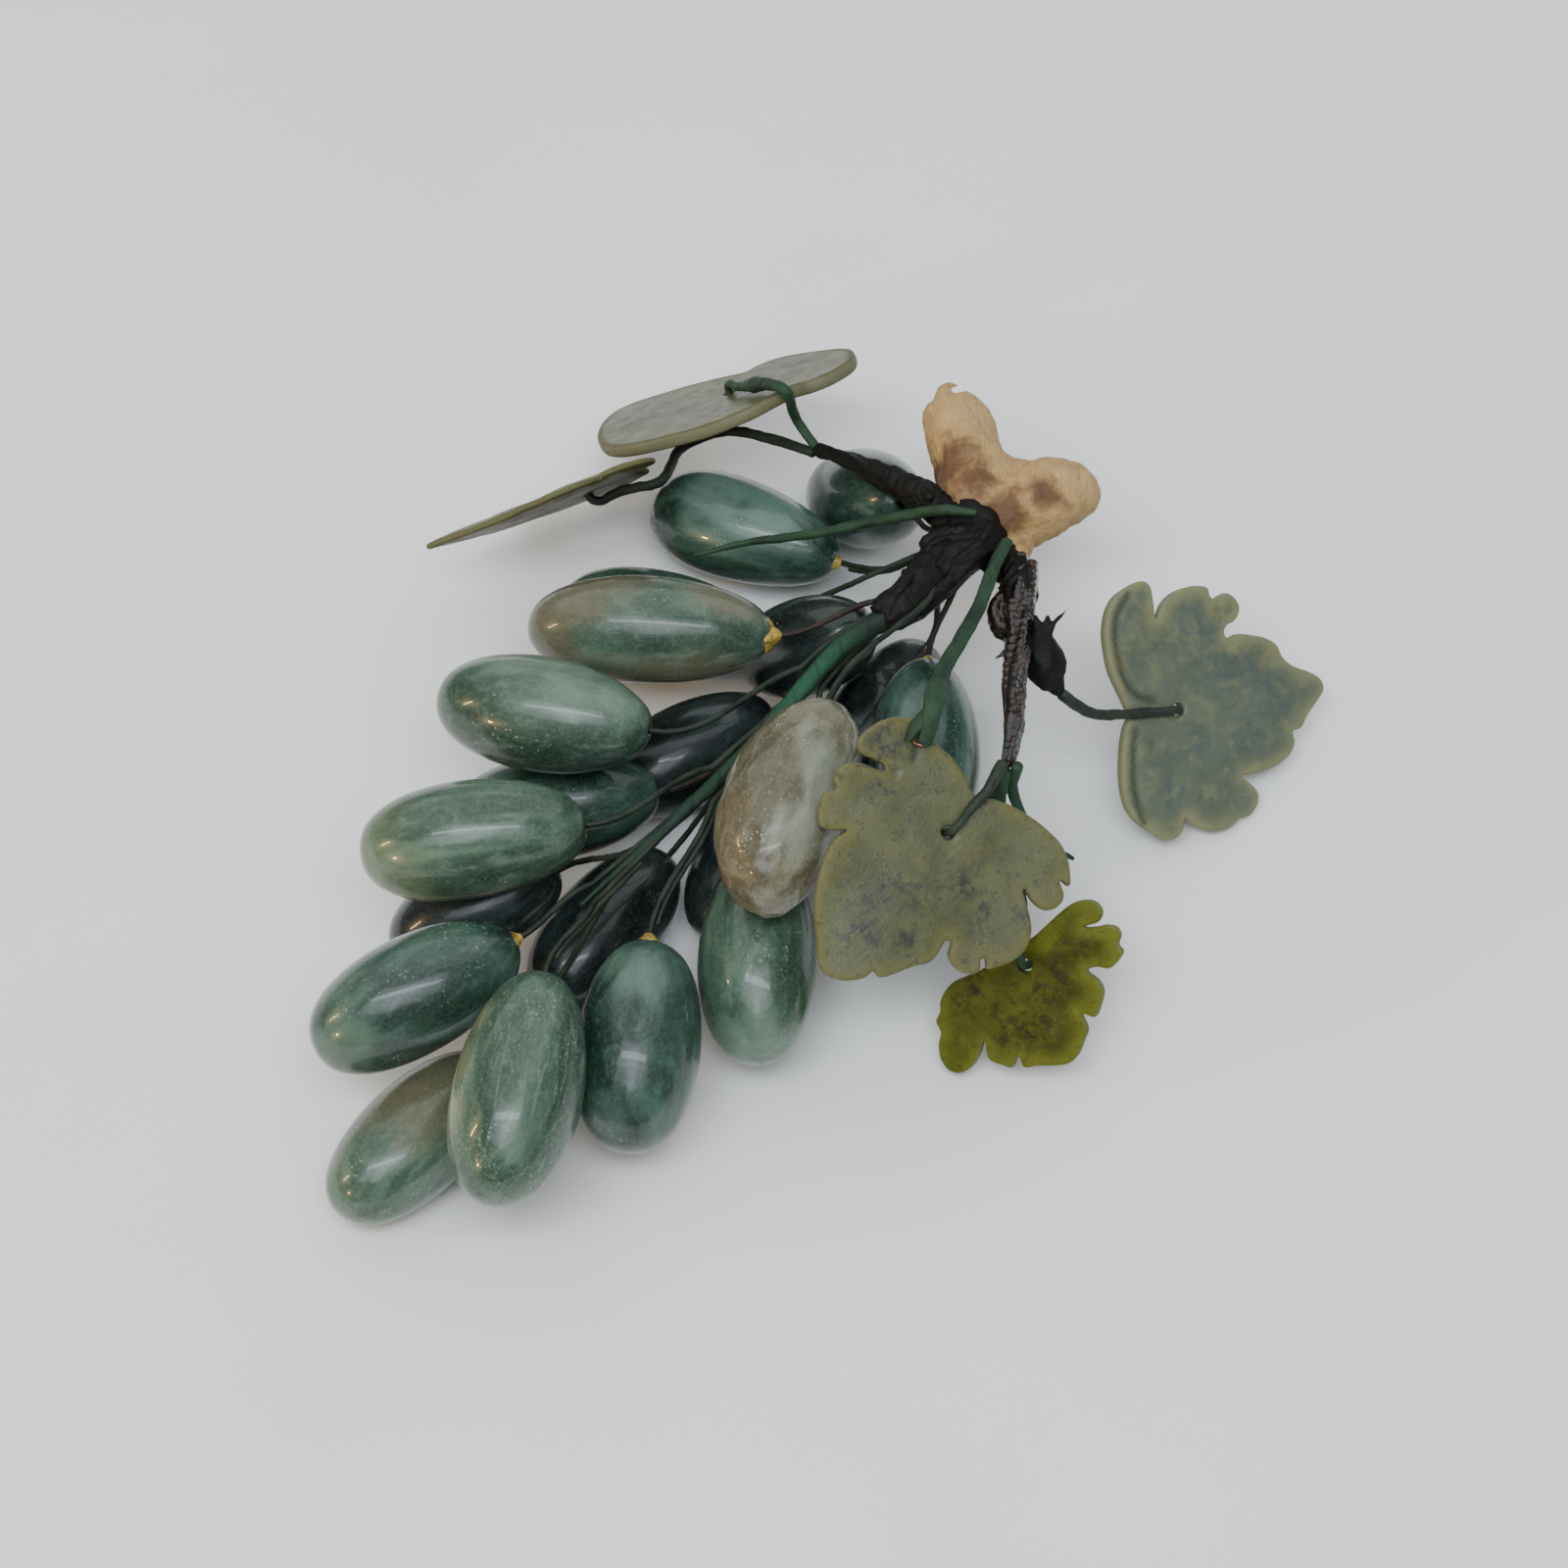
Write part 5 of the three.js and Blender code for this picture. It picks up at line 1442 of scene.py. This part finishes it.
class GRAPES_OT_leaf_wires(Operator):
    """Build the taped wires of the leaves and the loose wire ends"""

    bl_idname = "grape_bunch.leaf_wires"
    bl_label = "Leaf wires"

    def execute(self, context):
        tapes, lap = bpy.data.materials, context.scene.bunch_tape.lap
        for seed, (name, spots) in enumerate(leaf_wire_routes().items(), start=301):
            tape, girth, flat = LEAF_WIRES[name]
            taped_piece(name + "_taped", smooth_run(spots, 0.3), lambda share: np.interp(share, *girth),
                        tapes[tape], "green_tape", [name], lap=lap, raised=0.08, seed=seed, flat=flat)
        fork, arc = (
            [leaf_spot(LEAVES["leaf_1"], *spot) for spot in spots] for spots in (FORK_SPOTS, COPPER_SPOTS)
        )
        taped_piece("loose_wire_2_fork", smooth_run(fork, 0.3),
                    lambda share: np.interp(share, *FORK_GIRTH), tapes["green_tape_wound"],
                    "green_tape", flat=0.5, seed=320)
        points, faces, straight = tube(smooth_run(arc, 0.2), taper(*COPPER_RADII), 12)
        make_piece("bared_copper", points, faces, copper_material(), own=straight)
        return {"FINISHED"}


# Wood

# Where the wood is stained, and how far each stain reaches
STAINS = [
    ((25, 33.4, 35.8), 5), ((28.6, 29.6, 36.8), 4.6), ((22.6, 34, 33), 3.6), ((32.6, 24.5, 35.4), 4.4),
    ((38.8, 27.2, 37.4), 2.6),
]
DARK_SPOTS = [((38.8, 27.2, 38), 1.0), ((42.9, 25.4, 35.9), 0.8)]

# Each arm's spots, its radius along it and how far its end bulges. The left one is sawn off flat
WOOD_ARMS = [
    ([(30.4, 25.4, 31), (29, 32, 31), (27.4, 40, 31.5), (25.8, 47.8, 32)],
     ([0, 0.3, 0.6, 0.85, 1], [6.0, 6.3, 5.6, 5.0, 4.3]), 0.06),
    ([(28.5, 27, 31), (36.5, 28.3, 31.5), (41.2, 30.3, 32.5), (45, 31.4, 33)],
     ([0, 0.4, 0.75, 1], [5.4, 6.1, 5.7, 4.2]), BLUNT),
]
WOOD_EXTRAS = [
    ([(25.5, 44, 34.4), (24.4, 48.4, 34.4), (24.8, 50.4, 34.2), (26.6, 51, 33.8)], (2.2, 0.45)),
    ([(29.5, 37, 31.4), (33.5, 33.4, 31.6), (38, 31, 32)], (3.6, 4.4)),
    ([(33, 24, 30), (36, 21.5, 29.5)], (3.6, 2.4)),
]


def wood_material(settings):
    """Dry root wood: pale, with grain along the arms, brown stains and small cracks."""
    mix = Mix("root_wood")
    spot = mix.own()
    grain = mix.noise(mix.stretched(spot, (1, 0.16, 1), turn=(0, 0, 0.25)), 0.7, 5, 0.6, 0.4)
    stains = mix.noise(spot, 8.0, 5, 0.6, 0.6)
    blotch = mix.noise(spot, 3.0, 5, 0.6, 0.3)
    base = mix.layer(tuple(settings.pale), colour("#ac8b5b"), blotch, 0.35, 0.65)
    soaked = mix.plus(mix.field("stain"), mix.times(mix.off_middle(blotch), 1.5))
    soaked = mix.plus(soaked, mix.off_middle(stains))
    base = mix.layer(base, tuple(settings.stain), soaked, 0, 0.9, 0.95)
    specks = mix.times(mix.field("spot"), mix.remap(grain, 0.3, 0.6, 0.3, 1))
    base = mix.blend(mix.times(specks, 0.7), base, colour("#4b3a2b"))
    base = mix.layer(base, colour("#7b5a3a"), grain, 0.5, 0.3, 0.35)
    return mix.finish({
        "Base Color": base, "Roughness": mix.remap(blotch, 0.3, 0.7, 0.55, 0.75),
        "Normal": mix.bump(mix.plus(grain, blotch), 0.35),
    })


class GRAPES_OT_wood(Operator):
    """Build the forked wooden stem"""

    bl_idname = "grape_bunch.wood"
    bl_label = "Wooden stem"

    def execute(self, context):
        settings = context.scene.bunch_wood
        parts = []
        for spots, girth, blunt in WOOD_ARMS:
            path, shares = route(spots, 0.8)
            places = np.linspace(0, 1, len(shares))
            def radius(share, *_):
                return np.interp(np.interp(share, places, shares), *girth)
            parts.append(tube(path, radius, 28, blunt=blunt)[:2])
        points, faces, outwards = fused(parts + bars(WOOD_EXTRAS, 0.4, 14), 0.4, 4)
        gnarl = settings.gnarl * (0.75 * lumps(points, 7, 401) + 0.3 * lumps(points, 2.8, 402))
        gnarl += 0.25 * settings.gnarl * (creases(points * [1, 0.35, 1], 2.2, 403) - 0.5)
        points += outwards * gnarl[:, None]
        fields = {"stain": clouds(points, STAINS), "spot": clouds(points, DARK_SPOTS)}
        make_piece("wood_stem_carved", points, faces, wood_material(settings), ["wood_stem"],
                   fields=fields)
        return {"FINISHED"}


# Stage

LIGHT_DISTANCE = 1.2
FLOOR_HALF = 6.0
LENS = 100
SENSOR = 36
SKY_STRENGTH = 0.24
WINDOW_TINT = (0.86, 0.93, 1.0)

# Each window is three panes, one inside the other: their size and share of the power
PANES = ((1.3, 0.36), (0.9, 0.34), (0.5, 0.36))
PANE_WIDTH = 0.6
PANE_HEIGHT = 0.5
WINDOWS = (("left", -27), ("right", 11))


def floor_material(settings):
    """A plain pale board, faintly uneven."""
    mix = Mix("stage_board")
    spot = mix.add("TexCoord").outputs["Object"]
    cloud = mix.noise(spot, 0.06, 4, 0.5)
    base = mix.layer(tuple(settings.floor), colour("#dededc"), cloud, 0.35, 0.65, 0.15)
    return mix.finish({"Base Color": base, "Roughness": 0.7, "Specular IOR Level": 0.2})


class GRAPES_OT_stage(Operator):
    """Lay the floor, hang the lights and set the camera"""

    bl_idname = "grape_bunch.stage"
    bl_label = "Stage"

    def execute(self, context):
        settings = context.scene.bunch_stage
        target = Vector((SHIFT[0], SHIFT[1], 0)) * MM
        self.floor(context, settings)
        self.world(context)
        for part, (size, share) in enumerate(PANES, start=1):
            pane, power = (PANE_WIDTH * size, PANE_HEIGHT * size), settings.window * share
            for side, azimuth in WINDOWS:
                self.light(context, f"window_{side}_{part}", target, azimuth, 62, pane, power, WINDOW_TINT)
        power = 0.35 * settings.window
        self.light(context, "window_sky", target, -8, 70, (1.0, 0.1), power, WINDOW_TINT)
        self.light(context, "ceiling", target, 180, 60, (2.4, 1.6), settings.ceiling, (0.95, 0.98, 1.0))
        self.light(context, "lamp", target, -50, 15, (0.06, 0.06), 2.2, (1.0, 0.62, 0.25))
        self.light(context, "lamp_strip", target, -80, 25, (0.03, 0.26), 2.6, (1.0, 0.68, 0.32))
        self.camera(context, settings, target)
        return {"FINISHED"}

    def floor(self, context, settings):
        """A board much wider than the view."""
        mesh = bpy.data.meshes.new("stage_floor")
        corners = [(x * FLOOR_HALF, y * FLOOR_HALF, 0) for x, y in ((-1, -1), (1, -1), (1, 1), (-1, 1))]
        mesh.from_pydata(corners, [], [(0, 1, 2, 3)])
        mesh.materials.append(floor_material(settings))
        board = bpy.data.objects.new("stage_floor", mesh)
        context.scene.collection.objects.link(board)

    def world(self, context):
        """Soft grey light from all round."""
        world = bpy.data.worlds.new("studio")
        world.use_nodes = True
        context.scene.world = world
        sky = world.node_tree.nodes["Background"]
        sky.inputs["Color"].default_value = (0.9, 0.95, 1.0, 1)
        sky.inputs["Strength"].default_value = SKY_STRENGTH

    def light(self, context, name, target, azimuth, elevation, size, power, tint):
        """A soft box aimed at the bunch. Azimuth 0 is the camera's side, and it grows to the right."""
        lamp = bpy.data.lights.new(name, "AREA")
        lamp.shape = "RECTANGLE"
        lamp.size, lamp.size_y = size
        lamp.energy = power
        lamp.color = tint
        away = Vector(direction(azimuth - 90, elevation))
        holder = bpy.data.objects.new(name, lamp)
        holder.location = target + away * LIGHT_DISTANCE
        holder.rotation_euler = away.to_track_quat("Z", "Y").to_euler()
        holder.visible_camera = False
        context.scene.collection.objects.link(holder)

    def camera(self, context, settings, target):
        """A long lens looking down at the middle of the bench."""
        lens = bpy.data.cameras.new("camera")
        lens.lens = LENS
        lens.sensor_width = SENSOR
        away = Vector(direction(-90, math.degrees(settings.elevation)))
        camera = bpy.data.objects.new("camera", lens)
        camera.location = target + away * settings.distance
        camera.rotation_euler = away.to_track_quat("Z", "Y").to_euler()
        context.scene.collection.objects.link(camera)
        context.scene.camera = camera


# Add-on

class GRAPES_PT_bunch(Panel):
    """The steps that build the bunch, and their settings"""

    bl_idname = "GRAPES_PT_bunch"
    bl_label = "Hardstone Grape Bunch"
    bl_space_type = "VIEW_3D"
    bl_region_type = "UI"
    bl_category = "Grapes"

    def draw(self, context):
        layout = self.layout
        for step in STEPS:
            layout.operator(step.bl_idname)
        for holder, kind in SETTINGS.items():
            box = layout.box()
            box.label(text=kind.__doc__.rstrip("."))
            for name in kind.__annotations__:
                box.prop(getattr(context.scene, holder), name)


SETTINGS = {
    "bunch_grapes": GrapeSettings,
    "bunch_tape": TapeSettings,
    "bunch_leaves": LeafSettings,
    "bunch_wood": WoodSettings,
    "bunch_stage": StageSettings,
}
STEPS = (
    GRAPES_OT_stones, GRAPES_OT_rachis, GRAPES_OT_branches, GRAPES_OT_wires, GRAPES_OT_leaves,
    GRAPES_OT_leaf_wires, GRAPES_OT_wood, GRAPES_OT_stage,
)
CLASSES = (*SETTINGS.values(), *STEPS, GRAPES_PT_bunch)


def register():
    """Make the settings, operators and panel known to Blender."""
    for kind in CLASSES:
        bpy.utils.register_class(kind)
    for holder, kind in SETTINGS.items():
        setattr(bpy.types.Scene, holder, PointerProperty(type=kind))


def unregister():
    """Take them out again."""
    for holder in SETTINGS:
        delattr(bpy.types.Scene, holder)
    for kind in reversed(CLASSES):
        bpy.utils.unregister_class(kind)


def main():
    """Build everything in order."""
    register()
    bpy.ops.grape_bunch.stones()
    bpy.ops.grape_bunch.rachis()
    bpy.ops.grape_bunch.branches()
    bpy.ops.grape_bunch.wires()
    bpy.ops.grape_bunch.leaves()
    bpy.ops.grape_bunch.leaf_wires()
    bpy.ops.grape_bunch.wood()
    bpy.ops.grape_bunch.stage()


if __name__ == "__main__":
    main()
